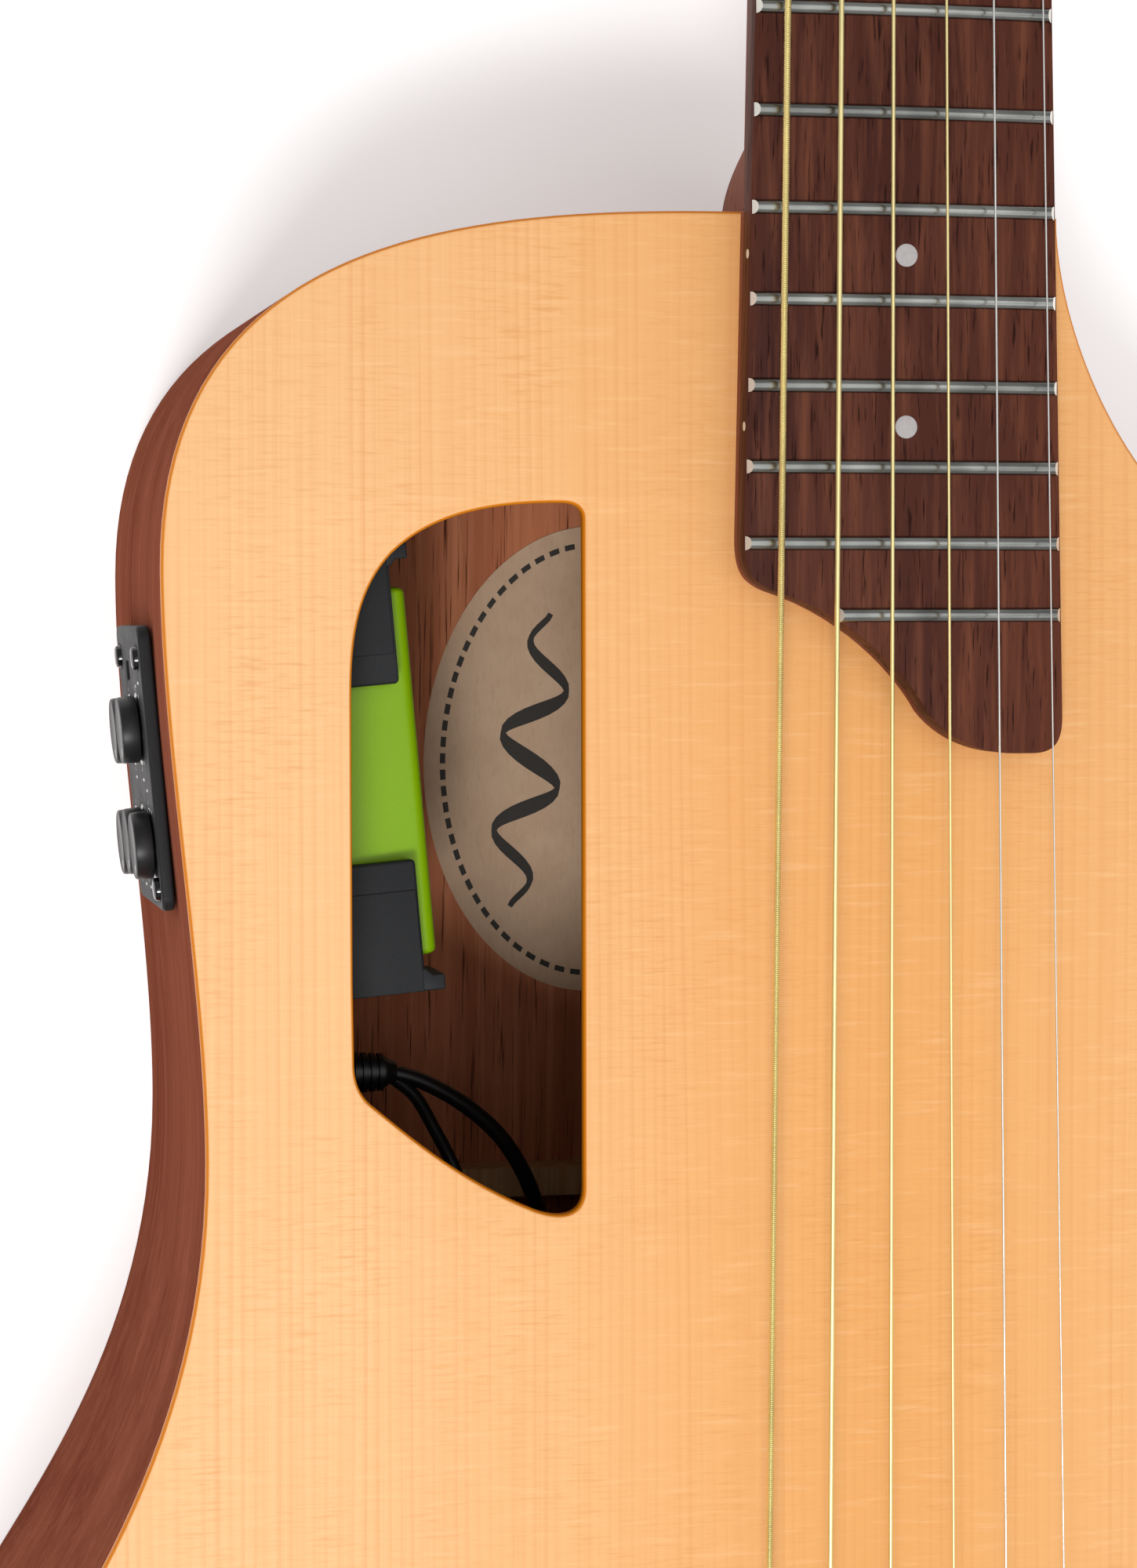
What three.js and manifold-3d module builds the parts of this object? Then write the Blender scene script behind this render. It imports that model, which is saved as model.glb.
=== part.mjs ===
// A six-string steel-string guitar with a rounded cutaway, an offset soundhole and a preamp in its bass side.
// Design frame, in millimetres: X across the strings (treble side positive), Y from the saddle to the
// headstock, Z out of the soundboard, whose outer face is Z = 0. The finished group is tipped so that the
// flat back lies on the ground plane, with the origin on the back under the saddle.
import * as THREE from "three";
import { mergeVertices } from "three/addons/utils/BufferGeometryUtils.js";
import Module from "manifold-3d";

const wasm = await Module();
wasm.setup();

// ---- Driving dimensions (mm) ----
const SCALE_LENGTH = 650;
const GAP = 0.3; // clearance between touching pieces
const OUTLINE_STEPS = 16; // straight steps in each curve of the body outline

const BODY_DEPTH = 105.46; // at the saddle
const BACK_SLOPE = 0.06; // rise of the back towards the neck
const TOP_THICK = 2.8;
const BACK_THICK = 3;
const RIM_THICK = 2.5;
const BODY_END = 289.6; // where the neck meets the body
const TAIL_END = -190;

const LINING_WIDTH = 6;
const LINING_HEIGHT = 14;
const NECK_BLOCK = { halfWidth: 35, from: 249, to: 288 };
const TAIL_BLOCK = { halfWidth: 35, from: -189, to: -166 };
const LINING_CLEARANCE = 3; // between a lining's end and a block
const CUTAWAY_CLEARANCE = 60; // the linings stop this far from the middle beside the cutaway

const TOP_BRACE = { width: 7, height: 13, scoop: 40, tip: 4 };
const X_BRACE_BASS = [
  [110, -118],
  [-30, 236],
];
const X_BRACE_TREBLE = [
  [-115, -118],
  [95, 198],
];
const LAP_CLEARANCE = 1.15; // how much wider than the other brace a lap is cut
const BRIDGE_PLATE_THICK = 2.5;
const BACK_BRACE = { width: 6, height: 9 };
const BACK_BRACE_UPPER_Y = 101.5;
const BACK_BRACE_LOWER_Y = -60;
const UPPER_BRACE_Y = 244.5;

const BOARD_HALF_AT_NUT = 21;
const BOARD_TAPER = 0.0206; // half-width gained per mm towards the body
const BOARD_UNDER = 2.5;
const BOARD_TOP = 8.5;
const BOARD_RADIUS = 400;

const NECK_TOP = BOARD_UNDER - GAP;
const NUT_THICK = 5;
const HEAD_ANGLE = THREE.MathUtils.degToRad(10);
const HEAD_START = SCALE_LENGTH + GAP + NUT_THICK;
const HEAD_THICK = 14.5;
const HEEL_BOTTOM = -84;
const NECK_INSET = 0.4;

const TRUSS_ROD = { width: 6, height: 9, from: 300, to: 640 };

const BRIDGE_TOP = 9.3;
const BRIDGE_FROM = -22;
const BRIDGE_TO = 9;
const BRIDGE_HALF = 78;
const SADDLE = { halfLength: 37, thick: 3, foot: 4.6, slant: 0.0437 };
const STRING_END_Y = -11.5; // where a string drops under its bridge pin

const STRING_AT_NUT = 9.75; // underside of the strings over the middle of the board
const STRING_RISE = 0.0062; // extra height per mm away from the nut

const TUNER_ROWS = [40, 82, 124]; // along the headstock from the nut
const TUNER_X = 25;
const POST_RADIUS = 3;
const POST_ABOVE = 18;
const GEAR_RADIUS = 5;
const WORM_RADIUS = 1.9;
const WORM_Y = 7.2;
const WORM_Z = -19.9;
const WIND_HEIGHT = 9;
const STRING_HOLE = { radius: 0.9, height: 12.6 };
const HOUSING_BOX = { width: 20, height: 17.7, corner: 3, rear: -26, shift: 1.85 };
const GEAR = { from: -23, to: -17 };

const PREAMP_POSITION = new THREE.Vector3(-131.25, 189.6, -39.5);
const PREAMP_TURN = THREE.MathUtils.degToRad(4.97); // follows the rim
const BEZEL = { width: 51.8, height: 43, thick: 2.25, corner: 2.6, raise: 0.5 };
const SKIRT = { width: 42.8, height: 30, wall: 1.5, depth: 4 };
const HOUSING = { from: -28.8, to: 39.4, low: -19, high: 15.7, front: -4.6, rear: -48.2 };
const BRACKET = { sheet: 3.2, endWall: 4.2, high: 19.5, low: -22.5, front: -4.6, rear: -44.8, toe: -48.4, ledge: 2.9 };
const BRACKET_UPPER = { open: -11.2, closed: -36.8 };
const BRACKET_LOWER = { open: 21.2, closed: 45.6 };
const KNOB = { radius: 6.2, height: 3.4, lift: 0.3, shaft: 3, bore: 3.3 };
const PUSH = { radius: 2.1, proud: 1.1, bore: 2.4 };

const JACK_Z = -58;
const JACK = { flange: 8, barrel: 6, bore: 3.3, outer: -204, inner: -150, boreDepth: 32 };
const CABLE_RADIUS = 1.6;
const BRANCH_RADIUS = 1.3;

// name, x at the saddle, x at the nut, radius, tuner row, side of the headstock
const STRINGS = [
  { name: "low_e", saddle: -27.1, nut: -18.7, radius: 0.68, row: 0, side: -1 },
  { name: "a", saddle: -15.65, nut: -10.65, radius: 0.54, row: 1, side: -1 },
  { name: "d", saddle: -4.1, nut: -3.05, radius: 0.41, row: 2, side: -1 },
  { name: "g", saddle: 8.2, nut: 4.45, radius: 0.3, row: 2, side: 1 },
  { name: "b", saddle: 18.5, nut: 12, radius: 0.21, row: 1, side: 1 },
  { name: "high_e", saddle: 30.1, nut: 19.3, radius: 0.16, row: 0, side: 1 },
];

// Knob and button places on the bezel: x towards the tail, y towards the soundboard.
const KNOBS = {
  knob_volume: [-7, 8.5],
  knob_blend: [-6.5, -5],
  knob_treble: [14, 13.6],
  knob_middle: [13.9, 0.8],
  knob_bass: [14.8, -12.4],
};
const PUSH_BUTTONS = {
  button_tuner: [-20.1, 16.8],
  button_phase: [-20.1, -15.5],
  button_power: [21.9, 17.9],
};

const MATERIALS = {
  spruce: { color: 0xf0ba82, roughness: 0.45, metalness: 0 },
  mahogany: { color: 0x80503c, roughness: 0.42, metalness: 0 },
  inner_wood: { color: 0xc79a6b, roughness: 0.8, metalness: 0 },
  rosewood: { color: 0x57332a, roughness: 0.55, metalness: 0 },
  bone: { color: 0xeee6d2, roughness: 0.4, metalness: 0 },
  gold_wound: { color: 0xc9a24d, roughness: 0.35, metalness: 1 },
  plain_steel: { color: 0xd8d8d6, roughness: 0.25, metalness: 1 },
  chrome: { color: 0xcfd2d4, roughness: 0.15, metalness: 1 },
  black_plastic: { color: 0x2b2b2d, roughness: 0.5, metalness: 0 },
  green_plastic: { color: 0x8fb033, roughness: 0.35, metalness: 0 },
  black_cable: { color: 0x161616, roughness: 0.5, metalness: 0 },
};

// ---- Solids: joining and cutting ----
function toSolid(geometry) {
  const plain = geometry.index ? geometry.toNonIndexed() : geometry.clone();
  plain.deleteAttribute("normal");
  plain.deleteAttribute("uv");
  const merged = mergeVertices(plain, 1e-4);
  return new wasm.Manifold(
    new wasm.Mesh({
      numProp: 3,
      vertProperties: merged.attributes.position.array,
      triVerts: new Uint32Array(merged.index.array),
    }),
  );
}

function toGeometry(solid) {
  const mesh = solid.getMesh();
  const geometry = new THREE.BufferGeometry();
  geometry.setAttribute("position", new THREE.BufferAttribute(Float32Array.from(mesh.vertProperties), 3));
  geometry.setIndex(new THREE.BufferAttribute(Uint32Array.from(mesh.triVerts), 1));
  geometry.computeVertexNormals();
  return geometry;
}

function cut(geometry, ...tools) {
  return toGeometry(tools.reduce((solid, tool) => solid.subtract(toSolid(tool)), toSolid(geometry)));
}

function join(geometry, ...others) {
  return toGeometry(others.reduce((solid, other) => solid.add(toSolid(other)), toSolid(geometry)));
}

function common(geometry, other) {
  return toGeometry(toSolid(geometry).intersect(toSolid(other)));
}

// ---- Basic shapes ----
function boxBetween(x0, x1, y0, y1, z0, z1) {
  const box = new THREE.BoxGeometry(x1 - x0, y1 - y0, z1 - z0);
  return box.translate((x0 + x1) / 2, (y0 + y1) / 2, (z0 + z1) / 2);
}

// A cylinder along Z from z0 to z1, about the point (x, y).
function rodZ(radius, z0, z1, x = 0, y = 0, sides = 24) {
  const rod = new THREE.CylinderGeometry(radius, radius, z1 - z0, sides);
  return rod.rotateX(Math.PI / 2).translate(x, y, (z0 + z1) / 2);
}

// A cylinder along X from x0 to x1, about the point (y, z).
function rodX(radius, x0, x1, y = 0, z = 0, sides = 24) {
  const rod = new THREE.CylinderGeometry(radius, radius, x1 - x0, sides);
  return rod.rotateZ(Math.PI / 2).translate((x0 + x1) / 2, y, z);
}

function polygon(points) {
  return new THREE.Shape(points.map(([x, y]) => new THREE.Vector2(x, y)));
}

function roundedRectangle(width, height, radius) {
  const x = width / 2;
  const y = height / 2;
  const shape = new THREE.Shape();
  shape.moveTo(-x + radius, -y);
  shape.lineTo(x - radius, -y);
  shape.absarc(x - radius, -y + radius, radius, -Math.PI / 2, 0, false);
  shape.lineTo(x, y - radius);
  shape.absarc(x - radius, y - radius, radius, 0, Math.PI / 2, false);
  shape.lineTo(-x + radius, y);
  shape.absarc(-x + radius, y - radius, radius, Math.PI / 2, Math.PI, false);
  shape.lineTo(-x, -y + radius);
  shape.absarc(-x + radius, -y + radius, radius, Math.PI, Math.PI * 1.5, false);
  return shape;
}

function prism(shape, z0, z1, curveSegments = 6) {
  const solid = new THREE.ExtrudeGeometry(shape, { depth: z1 - z0, bevelEnabled: false, curveSegments });
  return solid.translate(0, 0, z0);
}

// An extrusion along Z whose lower and upper ends follow low(y) and high(y).
function slab(shape, low, high, curveSegments = 12) {
  const solid = prism(shape, 0, 1, curveSegments);
  const position = solid.attributes.position;
  for (let i = 0; i < position.count; i += 1) {
    const y = position.getY(i);
    const share = position.getZ(i);
    position.setZ(i, low(y) + (high(y) - low(y)) * share);
  }
  return solid;
}

// A skin over rings of equal length, closed by a fan at each end.
function loft(rings) {
  const count = rings[0].length;
  const corners = rings.flat();
  const faces = [];
  for (let r = 0; r + 1 < rings.length; r += 1) {
    for (let i = 0; i < count; i += 1) {
      const a = r * count + i;
      const b = r * count + ((i + 1) % count);
      faces.push(a, b, b + count, a, b + count, a + count);
    }
  }
  const last = (rings.length - 1) * count;
  for (let i = 1; i + 1 < count; i += 1) {
    faces.push(0, i + 1, i, last, last + i, last + i + 1);
  }
  const geometry = new THREE.BufferGeometry().setFromPoints(corners);
  geometry.setIndex(faces);
  if (toSolid(geometry).volume() < 0) {
    faces.reverse();
    geometry.setIndex(faces);
  }
  return geometry;
}

// A path through given points whose samples fall exactly on them.
class Polyline extends THREE.Curve {
  constructor(points) {
    super();
    this.points = points;
  }
  getPoint(t, target = new THREE.Vector3()) {
    const place = t * (this.points.length - 1);
    const i = Math.min(Math.floor(place + 1e-9), this.points.length - 2);
    return target.copy(this.points[i]).lerp(this.points[i + 1], place - i);
  }
  getPointAt(u, target) {
    return this.getPoint(u, target);
  }
  getTangentAt(u, target = new THREE.Vector3()) {
    const i = Math.round(u * (this.points.length - 1));
    const before = this.points[Math.max(i - 1, 0)];
    const after = this.points[Math.min(i + 1, this.points.length - 1)];
    return target.copy(after).sub(before).normalize();
  }
}

function disc(radius, sides) {
  const angles = Array.from({ length: sides }, (_, i) => (i * 2 * Math.PI) / sides);
  return polygon(angles.map((a) => [radius * Math.cos(a), radius * Math.sin(a)]));
}

function tube(curve, radius, steps, sides = 8) {
  return new THREE.ExtrudeGeometry(disc(radius, sides), { steps, extrudePath: curve, bevelEnabled: false });
}

// ---- Where things are ----
const backOuter = (y) => -BODY_DEPTH + BACK_SLOPE * y;
const backInner = (y) => backOuter(y) + BACK_THICK;
const boardHalf = (y) => BOARD_HALF_AT_NUT + BOARD_TAPER * (SCALE_LENGTH - y);
const boardDrop = (x) => (x * x) / (2 * BOARD_RADIUS);
const stringUnder = (x, y) => STRING_AT_NUT + STRING_RISE * (SCALE_LENGTH - y) - boardDrop(x);

// A point of the headstock's own frame (across, along, out of its face) in the design frame.
function onHeadstock(x, along, out) {
  const y = HEAD_START + along * Math.cos(HEAD_ANGLE) + out * Math.sin(HEAD_ANGLE);
  const z = NECK_TOP - along * Math.sin(HEAD_ANGLE) + out * Math.cos(HEAD_ANGLE);
  return new THREE.Vector3(x, y, z);
}

// ---- Body outline ----
function bassSide() {
  const path = new THREE.Path();
  path.moveTo(-GAP / 2, BODY_END);
  path.lineTo(-28, BODY_END);
  path.bezierCurveTo(-79.2, BODY_END, -133, 283.7, -133, 225.3);
  path.bezierCurveTo(-133, 193.1, -125.7, 153, -125.7, 120.3);
  path.bezierCurveTo(-125.7, 45.8, -179.4, 15.9, -179.4, -25.4);
  path.bezierCurveTo(-179.4, -120, -95, TAIL_END, -GAP / 2, TAIL_END);
  return path.getPoints(OUTLINE_STEPS);
}

function trebleSide() {
  const path = new THREE.Path();
  path.moveTo(GAP / 2, TAIL_END);
  path.bezierCurveTo(95, TAIL_END, 179.4, -120, 179.4, -25.4);
  path.bezierCurveTo(179.4, 15.9, 125.7, 45.8, 125.7, 120.3);
  path.bezierCurveTo(125.7, 145, 127, 160, 127, 180);
  path.bezierCurveTo(127, 206, 109, 216.1, 84, 221);
  path.bezierCurveTo(48, 228, 31.6, 268, 31.6, BODY_END);
  path.lineTo(GAP / 2, BODY_END);
  return path.getPoints(OUTLINE_STEPS);
}

// Points moved inwards, to the left of the direction of travel, without those a sharp corner overtakes.
function inset(points, distance, closed) {
  const count = points.length;
  const neighbour = (i, step) => {
    if (closed) return points[(i + step + count) % count];
    return points[Math.min(Math.max(i + step, 0), count - 1)];
  };
  const moved = points.map((point, i) => {
    const into = point.clone().sub(neighbour(i, -1)).normalize();
    const outOf = neighbour(i, 1).clone().sub(point).normalize();
    if (into.lengthSq() === 0) into.copy(outOf);
    if (outOf.lengthSq() === 0) outOf.copy(into);
    const normal = new THREE.Vector2(-into.y - outOf.y, into.x + outOf.x).normalize();
    const stretch = 1 / Math.max(normal.dot(new THREE.Vector2(-into.y, into.x)), 0.5);
    return point.clone().addScaledVector(normal, distance * stretch);
  });
  return moved.filter((point, i) => {
    const next = (i + 1) % count;
    if (!closed && next === 0) return true;
    const before = points[next].clone().sub(points[i]);
    return moved[next].clone().sub(point).dot(before) > 0;
  });
}

function bodyShape(distance) {
  return new THREE.Shape(inset([...bassSide(), ...trebleSide()], distance, true));
}

function ribbon(points, from, to) {
  return new THREE.Shape([...inset(points, from, false), ...inset(points, to, false).reverse()]);
}

// The inner space of the body, a given distance in from the outline.
function bodyInside(distance, low, high) {
  return slab(bodyShape(distance), low, high);
}

function soundholePath() {
  const path = new THREE.Path();
  path.moveTo(-57.5, 234.2);
  path.bezierCurveTo(-57.5, 236.3, -58.9, 237.1, -61.5, 237.1);
  path.bezierCurveTo(-73, 237.1, -84.5, 235.4, -92.1, 228);
  path.bezierCurveTo(-97.8, 222, -99.4, 214, -99.4, 203);
  path.lineTo(-99.4, 152);
  path.lineTo(-99.2, 137);
  path.bezierCurveTo(-99.1, 133.6, -98, 131.2, -95.3, 129.2);
  path.bezierCurveTo(-88.5, 123.5, -79.5, 115.6, -66.5, 110.1);
  path.bezierCurveTo(-60.5, 107.8, -57.5, 109.5, -57.5, 113.8);
  path.closePath();
  return path;
}

// ---- Body ----
function soundboard() {
  const shape = bodyShape(0);
  shape.holes.push(soundholePath());
  return prism(shape, -TOP_THICK, 0, 8);
}

function backPlate() {
  return slab(bodyShape(0), backOuter, backInner);
}

function rim(points) {
  return slab(
    ribbon(points, 0, RIM_THICK),
    (y) => backInner(y) + GAP,
    () => -TOP_THICK - GAP,
  );
}

function sideBass() {
  const opening = prism(roundedRectangle(SKIRT.width + 2 * GAP, SKIRT.height + 2 * GAP, 2), -12, 8, 2);
  opening.applyMatrix4(preampMatrix());
  return cut(rim(bassSide()), opening, jackClearance());
}

function sideTreble() {
  return cut(rim(trebleSide()), jackClearance());
}

// The hole for the output jack, along Y through the tail.
function jackClearance() {
  const hole = new THREE.CylinderGeometry(JACK.barrel + GAP, JACK.barrel + GAP, 60, 24);
  return hole.translate(0, -180, JACK_Z);
}

function block(size) {
  const box = boxBetween(-size.halfWidth, size.halfWidth, size.from, size.to, -150, 20);
  const inside = bodyInside(RIM_THICK + GAP, (y) => backInner(y) + GAP, () => -TOP_THICK - GAP);
  return common(box, inside);
}

function lining(points, atTop) {
  const shape = ribbon(points, RIM_THICK + GAP, RIM_THICK + GAP + LINING_WIDTH);
  const low = atTop ? () => -TOP_THICK - GAP - LINING_HEIGHT : (y) => backInner(y) + GAP;
  const high = atTop ? () => -TOP_THICK - GAP : (y) => backInner(y) + GAP + LINING_HEIGHT;
  const side = NECK_BLOCK.halfWidth + LINING_CLEARANCE;
  const neckClear = boxBetween(-side, CUTAWAY_CLEARANCE, NECK_BLOCK.from - GAP, 300, -150, 20);
  const tailClear = boxBetween(-side, side, -200, TAIL_BLOCK.to + 2, -150, 20);
  return cut(slab(shape, low, high), neckClear, tailClear);
}

// A brace under the soundboard from one point to another, with its ends scooped down.
function topBrace(from, to) {
  const length = Math.hypot(to[0] - from[0], to[1] - from[1]);
  const { width, height, scoop, tip } = TOP_BRACE;
  const profile = polygon([
    [0, 0],
    [length, 0],
    [length, -tip],
    [length - scoop, -height],
    [scoop, -height],
    [0, -tip],
  ]);
  const brace = prism(profile, -width / 2, width / 2).rotateX(Math.PI / 2);
  brace.rotateZ(Math.atan2(to[1] - from[1], to[0] - from[0]));
  return brace.translate(from[0], from[1], -TOP_THICK - GAP);
}

const X_CROSSING = crossing(X_BRACE_BASS, X_BRACE_TREBLE);

// Where two lines, each given by two points, meet.
function crossing([[ax, ay], [bx, by]], [[cx, cy], [dx, dy]]) {
  const [ux, uy] = [bx - ax, by - ay];
  const [vx, vy] = [dx - cx, dy - cy];
  const share = ((cx - ax) * vy - (cy - ay) * vx) / (ux * vy - uy * vx);
  return [ax + share * ux, ay + share * uy];
}

// A box about the lap where the main braces cross.
function crossingBox(low, high) {
  const [x, y] = X_CROSSING;
  return boxBetween(x - 12, x + 12, y - 12, y + 12, low, high);
}

function xBraceBass() {
  const other = topBrace(...X_BRACE_TREBLE);
  const lap = common(other, crossingBox(-40, -TOP_THICK - TOP_BRACE.height / 2 + GAP));
  return cut(topBrace(...X_BRACE_BASS), widen(lap));
}

function xBraceTreble() {
  const lap = common(topBrace(...X_BRACE_BASS), crossingBox(-TOP_THICK - TOP_BRACE.height / 2, 5));
  return cut(topBrace(...X_BRACE_TREBLE), widen(lap));
}

// A piece grown a little about the crossing, so that the lap keeps its clearance.
function widen(geometry) {
  const [x, y] = X_CROSSING;
  return geometry.translate(-x, -y, 0).scale(LAP_CLEARANCE, LAP_CLEARANCE, 1).translate(x, y, 0);
}

function upperBrace() {
  return topBrace([-119.5, UPPER_BRACE_Y], [33, UPPER_BRACE_Y]);
}

function backBrace(y) {
  const { width, height } = BACK_BRACE;
  const bar = boxBetween(-200, 200, y - width / 2, y + width / 2, -200, 0);
  const inside = bodyInside(
    RIM_THICK + LINING_WIDTH + 2 * GAP + 0.5,
    (v) => backInner(v) + GAP,
    (v) => backInner(v) + GAP + height,
  );
  return common(bar, inside);
}

function bridgePlate() {
  const shape = polygon([[-50, -30], [69, -30], [52, 12], [-22, 12]]);
  return prism(shape, -TOP_THICK - GAP - BRIDGE_PLATE_THICK, -TOP_THICK - GAP);
}

// ---- Neck and fretboard ----
function boardShape(distance) {
  const end = new THREE.Path();
  end.moveTo(-BOARD_HALF_AT_NUT, SCALE_LENGTH);
  end.lineTo(-boardHalf(231), 231);
  end.bezierCurveTo(-29.7, 224.5, -28, 223, -24.5, 221.4);
  end.bezierCurveTo(-10, 217, 0, 207, 4.3, 199.5);
  end.bezierCurveTo(7.8, 195, 14, 191.8, 21, 191.8);
  end.lineTo(24.5, 191.8);
  end.bezierCurveTo(28.6, 191.8, boardHalf(195), 193.5, boardHalf(198.5), 198.5);
  end.lineTo(BOARD_HALF_AT_NUT, SCALE_LENGTH);
  return new THREE.Shape(inset(end.getPoints(8), distance, true));
}

function fretboard() {
  const flat = prism(boardShape(0), BOARD_UNDER, BOARD_TOP);
  const camber = new THREE.CylinderGeometry(BOARD_RADIUS, BOARD_RADIUS, 600, 360);
  camber.translate(0, 400, BOARD_TOP - BOARD_RADIUS);
  return common(flat, camber);
}

function neckRing(y, depth) {
  const half = boardHalf(Math.min(y, SCALE_LENGTH)) - NECK_INSET;
  const ring = [];
  for (let i = 0; i <= 16; i += 1) {
    const a = (Math.PI * i) / 16;
    ring.push(new THREE.Vector3(half * Math.cos(a), y, NECK_TOP - 1 - (depth - 1) * Math.sin(a)));
  }
  ring.push(new THREE.Vector3(-half, y, NECK_TOP), new THREE.Vector3(half, y, NECK_TOP));
  return ring;
}

function heelRing(z, half, front) {
  const start = BODY_END + GAP;
  const ring = [];
  for (let i = 0; i <= 16; i += 1) {
    const a = (Math.PI * i) / 16;
    ring.push(new THREE.Vector3(half * Math.cos(a), start + 0.5 + (front - start) * Math.sin(a), z));
  }
  ring.push(new THREE.Vector3(-half, start, z), new THREE.Vector3(half, start, z));
  return ring;
}

function heel() {
  // height, half-width, how far the heel reaches towards the headstock
  const sections = [
    [-3, 26.8, 331],
    [-12, 25.9, 323],
    [-20, 25.2, 318.5],
    [-30, 24.1, 313.5],
    [-45, 20.4, 306.5],
    [-64, 16.6, 302],
    [HEEL_BOTTOM + 3, 14.2, 299.8],
    [HEEL_BOTTOM, 12.8, 298.4],
  ];
  return loft(sections.map(([z, half, front]) => heelRing(z, half, front)));
}

function headstockShape() {
  const half = BOARD_HALF_AT_NUT;
  const shape = new THREE.Shape();
  shape.moveTo(-half, -6);
  shape.lineTo(half, -6);
  shape.lineTo(half, 2);
  shape.bezierCurveTo(half, 16, 31, 14, 33, 30);
  shape.lineTo(36, 160);
  shape.bezierCurveTo(36.3, 170, 30, 173, 20, 175);
  shape.bezierCurveTo(12, 176.6, 6, 178.5, 0, 181);
  shape.bezierCurveTo(-6, 178.5, -12, 176.6, -20, 175);
  shape.bezierCurveTo(-30, 173, -36.3, 170, -36, 160);
  shape.lineTo(-33, 30);
  shape.bezierCurveTo(-31, 14, -half, 16, -half, 2);
  return shape;
}

function headstock() {
  const plate = prism(headstockShape(), -HEAD_THICK, 0, 8);
  const holes = STRINGS.map((s) => rodZ(POST_RADIUS + 0.6, -30, 10, s.side * TUNER_X, TUNER_ROWS[s.row], 14));
  return cut(plate, ...holes)
    .rotateX(-HEAD_ANGLE)
    .translate(0, HEAD_START, NECK_TOP);
}

function neck() {
  const stations = [
    [BODY_END + GAP, 16.5],
    [330, 16.3],
    [420, 15.9],
    [540, 15.2],
    [630, 14.7],
    [648, 14.9],
    [HEAD_START, 15.4],
  ];
  const shaft = loft(stations.map(([y, depth]) => neckRing(y, depth)));
  const tongue = cut(prism(boardShape(0.1), GAP, NECK_TOP), boxBetween(-60, 60, 300, 700, -5, 10));
  const { width, height, from, to } = TRUSS_ROD;
  const half = width / 2 + GAP;
  const channel = boxBetween(-half, half, from - GAP, to + GAP, NECK_TOP - height - 1 - 2 * GAP, 10);
  const aboveTop = boxBetween(-60, 60, 600, HEAD_START, NECK_TOP, 20);
  return cut(join(shaft, heel(), headstock(), tongue), channel, aboveTop);
}

function trussRod() {
  const { width, height, from, to } = TRUSS_ROD;
  return boxBetween(-width / 2, width / 2, from, to, NECK_TOP - height - 1, NECK_TOP - 1);
}

function nut() {
  const half = BOARD_HALF_AT_NUT;
  const profile = new THREE.Shape();
  profile.moveTo(-half, BOARD_UNDER);
  profile.lineTo(half, BOARD_UNDER);
  profile.lineTo(half, 10.1);
  profile.quadraticCurveTo(0, 11.2, -half, 10.1);
  const blank = prism(profile, -NUT_THICK, 0, 8).rotateX(Math.PI / 2).translate(0, SCALE_LENGTH + GAP, 0);
  const slots = STRINGS.map((s) => {
    const floor = stringUnder(s.nut, SCALE_LENGTH) - GAP;
    const reach = s.radius + GAP;
    return boxBetween(s.nut - reach, s.nut + reach, 640, 665, floor, 20);
  });
  return cut(blank, ...slots);
}

// ---- Bridge ----
function bridge() {
  const profile = new THREE.Shape();
  profile.moveTo(-BRIDGE_HALF, GAP);
  profile.lineTo(BRIDGE_HALF, GAP);
  profile.lineTo(BRIDGE_HALF, 3.4);
  profile.bezierCurveTo(62, 4.6, 58, 5, 52, BRIDGE_TOP);
  profile.lineTo(-52, BRIDGE_TOP);
  profile.bezierCurveTo(-58, 5, -62, 4.6, -BRIDGE_HALF, 3.4);
  const bar = prism(profile, 0, BRIDGE_TO - BRIDGE_FROM, 8).rotateX(Math.PI / 2).translate(0, BRIDGE_TO, 0);
  const plan = new THREE.Shape();
  plan.moveTo(-BRIDGE_HALF, -10);
  plan.bezierCurveTo(-60, -12, -45, BRIDGE_FROM, 0, BRIDGE_FROM);
  plan.bezierCurveTo(45, BRIDGE_FROM, 60, -12, BRIDGE_HALF, -10);
  plan.lineTo(BRIDGE_HALF, 6);
  plan.quadraticCurveTo(BRIDGE_HALF, BRIDGE_TO, BRIDGE_HALF - 3, BRIDGE_TO);
  plan.lineTo(-BRIDGE_HALF + 3, BRIDGE_TO);
  plan.quadraticCurveTo(-BRIDGE_HALF, BRIDGE_TO, -BRIDGE_HALF, 6);
  const half = SADDLE.halfLength + GAP;
  const side = SADDLE.thick / 2 + GAP;
  const slot = boxBetween(-half, half, -side, side, SADDLE.foot - GAP, 20);
  return cut(common(bar, prism(plan, -5, 20, 8)), slot.rotateZ(SADDLE.slant));
}

function saddle() {
  const { halfLength, thick, foot, slant } = SADDLE;
  const crest = (x) => stringUnder(x, 0) - GAP;
  const profile = new THREE.Shape();
  profile.moveTo(-halfLength, foot);
  profile.lineTo(halfLength, foot);
  profile.lineTo(halfLength, crest(halfLength));
  for (let i = 1; i <= 12; i += 1) {
    const x = halfLength * (1 - i / 6);
    profile.lineTo(x, crest(x));
  }
  return prism(profile, -thick / 2, thick / 2).rotateX(Math.PI / 2).rotateZ(slant);
}

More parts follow.
